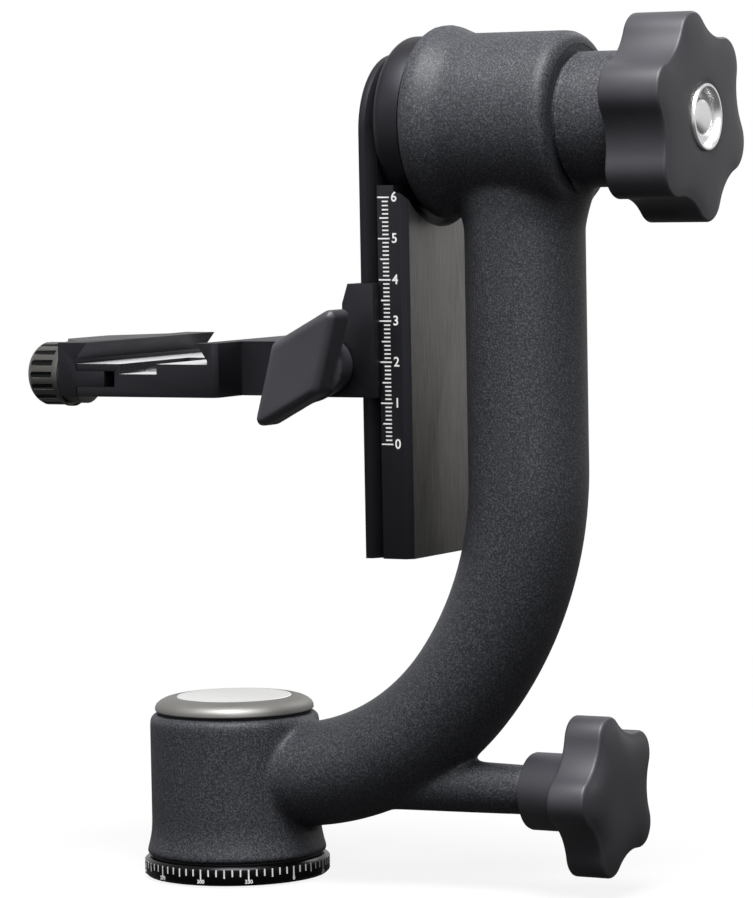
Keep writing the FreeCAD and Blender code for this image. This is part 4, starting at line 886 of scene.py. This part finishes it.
def add_camera():
    """The camera, from the numbers above, as the scene's own."""
    back = Vector((math.sin(AZIMUTH) * math.cos(ELEVATION),
                   -math.cos(AZIMUTH) * math.cos(ELEVATION), math.sin(ELEVATION)))
    level = Vector((math.cos(AZIMUTH), math.sin(AZIMUTH), 0.0))
    upright = back.cross(level)
    right = level * math.cos(ROLL) - upright * math.sin(ROLL)
    top = level * math.sin(ROLL) + upright * math.cos(ROLL)
    distance = FOCAL / PIXELS_PER_MM * MM
    aside = (AIM_PIXEL[0] - IMAGE[0] / 2) / FOCAL * distance
    above = -(AIM_PIXEL[1] - IMAGE[1] / 2) / FOCAL * distance
    place = AIM + back * distance - right * aside - top * above
    data = bpy.data.cameras.new("camera")
    data.sensor_fit = "HORIZONTAL"
    data.sensor_width = 36.0
    data.lens = FOCAL / IMAGE[0] * data.sensor_width
    data.clip_start = 0.05
    data.clip_end = 20.0
    camera = bpy.data.objects.new("camera", data)
    camera.matrix_world = Matrix((
        (right.x, top.x, back.x, place.x), (right.y, top.y, back.y, place.y),
        (right.z, top.z, back.z, place.z), (0, 0, 0, 1)))
    bpy.context.scene.collection.objects.link(camera)
    bpy.context.scene.camera = camera


add_camera()

# %% [markdown]
# ## Floor and room
#
# The part stands on white paper in a white room. To the eye both are white. In the part's own
# mirrors they are dimmer, as black flags beside the table would make them, and the floor is dark
# close to the part and lighter far away. The paper glows a little less near the part, so that a
# soft shadow can show there. The floor and the room send almost no light onto the part, because
# that is the lamps' work. Sizes and ranges are in metres, and the gap under the part is in mm.

# %% Floor
FLOOR_SIZE = 8.0
FLOOR_GAP = 0.5
FLOOR_IN_MIRRORS = 0.05
FAR_FLOOR_IN_MIRRORS = 0.6
MIRROR_RANGE = (0.4, 1.6)
ROOM_IN_MIRRORS = 0.7
PAPER_GLOW = 0.88
GLOW_RANGE = (0.1, 0.5)
AMBIENT = 0.005


def sum_node(material, operation, one, two, clamp=False):
    """One sum of two numbers or outputs."""
    node = add_node(material, "ShaderNodeMath", {"operation": operation, "use_clamp": clamp},
                    _0=one, _1=two)
    return node.outputs["Value"]


def seen_share(material, mirror_share):
    """1 for what the eye sees directly or through glass, and a part of it for mirrors."""
    path = add_node(material, "ShaderNodeLightPath").outputs
    mirror = sum_node(material, "MULTIPLY", path["Is Glossy Ray"], mirror_share)
    shown = sum_node(material, "ADD", path["Is Camera Ray"], mirror)
    return sum_node(material, "ADD", shown, path["Is Transmission Ray"], clamp=True)


def over_range(material, value, ends, low, high):
    """Go from a low to a high number while a value goes from one end to the other."""
    node = add_node(material, "ShaderNodeMapRange", Value=value, From_Min=ends[0],
                    From_Max=ends[1], To_Min=low, To_Max=high)
    return node.outputs["Result"]


def studio_floor():
    """White paper with the part's shadow on it, dark to the light that would bounce off it."""
    material, shader = new_material("white_paper", "#f4f4f4", 0.0, 0.9)
    shader.inputs["Specular IOR Level"].default_value = 0.0
    reach = add_node(material, "ShaderNodeVectorMath", {"operation": "LENGTH"},
                     _0=object_place(material)).outputs["Value"]
    in_mirrors = over_range(material, reach, MIRROR_RANGE, FLOOR_IN_MIRRORS, FAR_FLOOR_IN_MIRRORS)
    share = seen_share(material, in_mirrors)
    tone = add_node(material, "ShaderNodeMix", {"data_type": "RGBA"}, _0=share,
                    _6=linear("#0c0c0c"), _7=linear("#f4f4f4"))
    material.node_tree.links.new(tone.outputs[2], shader.inputs["Base Color"])
    far = over_range(material, reach, GLOW_RANGE, PAPER_GLOW, 1.0)
    glow = sum_node(material, "MULTIPLY", share, far)
    white = add_node(material, "ShaderNodeEmission", Color=linear("#ffffff"), Strength=1.0)
    blend = add_node(material, "ShaderNodeMixShader", _0=glow, _1=shader.outputs["BSDF"],
                     _2=white.outputs["Emission"])
    output = material.node_tree.nodes["Material Output"]
    material.node_tree.links.new(blend.outputs["Shader"], output.inputs["Surface"])
    return material


bpy.ops.mesh.primitive_plane_add(size=FLOOR_SIZE, location=(0, 0, -FLOOR_GAP * MM))
floor = bpy.context.active_object
floor.name = "floor"
set_finish(floor, studio_floor())

# %% [markdown]
# ## Lamps
#
# A large key lamp hangs almost overhead, so the tops of the pieces are bright and their
# undersides go dark. Three weak lamps draw the right-hand sides, the left-hand sides and the
# outline from behind.

# %% Lamps and room
LAMPS = {
    "key": ((0.25, -0.45, 1.25), (0.8, 0.7), 33.0),
    "front": ((0.9, -1.2, 0.75), (0.5, 0.4), 4.5),
    "side": ((-0.7, -1.1, 0.8), (0.4, 0.4), 1.0),
    "back": ((0.2, 1.2, 0.9), (0.6, 0.4), 2.2),
}


def add_lamp(name, place, size, power):
    """A rectangular lamp that points at AIM, with place and size in metres and power in watts."""
    data = bpy.data.lights.new(name, "AREA")
    data.shape = "RECTANGLE"
    data.size, data.size_y = size
    data.energy = power
    lamp = bpy.data.objects.new(name, data)
    lamp.location = place
    lamp.rotation_euler = (AIM - Vector(place)).to_track_quat("-Z", "Y").to_euler()
    bpy.context.scene.collection.objects.link(lamp)


for name, (place, size, power) in LAMPS.items():
    add_lamp(name, place, size, power)
world = bpy.data.worlds.new("studio")
world.use_nodes = True
ambient = world.node_tree.nodes["Background"]
ambient.inputs["Color"].default_value = linear("#ffffff")
ambient.inputs["Strength"].default_value = AMBIENT
backdrop = add_node(world, "ShaderNodeBackground", Color=linear("#ffffff"), Strength=1.0)
room = add_node(world, "ShaderNodeMixShader", _0=seen_share(world, ROOM_IN_MIRRORS),
                _1=ambient.outputs["Background"], _2=backdrop.outputs["Background"])
world_output = world.node_tree.nodes["World Output"]
world.node_tree.links.new(room.outputs["Shader"], world_output.inputs["Surface"])
bpy.context.scene.world = world
bpy.context.scene.view_settings.view_transform = "Standard"
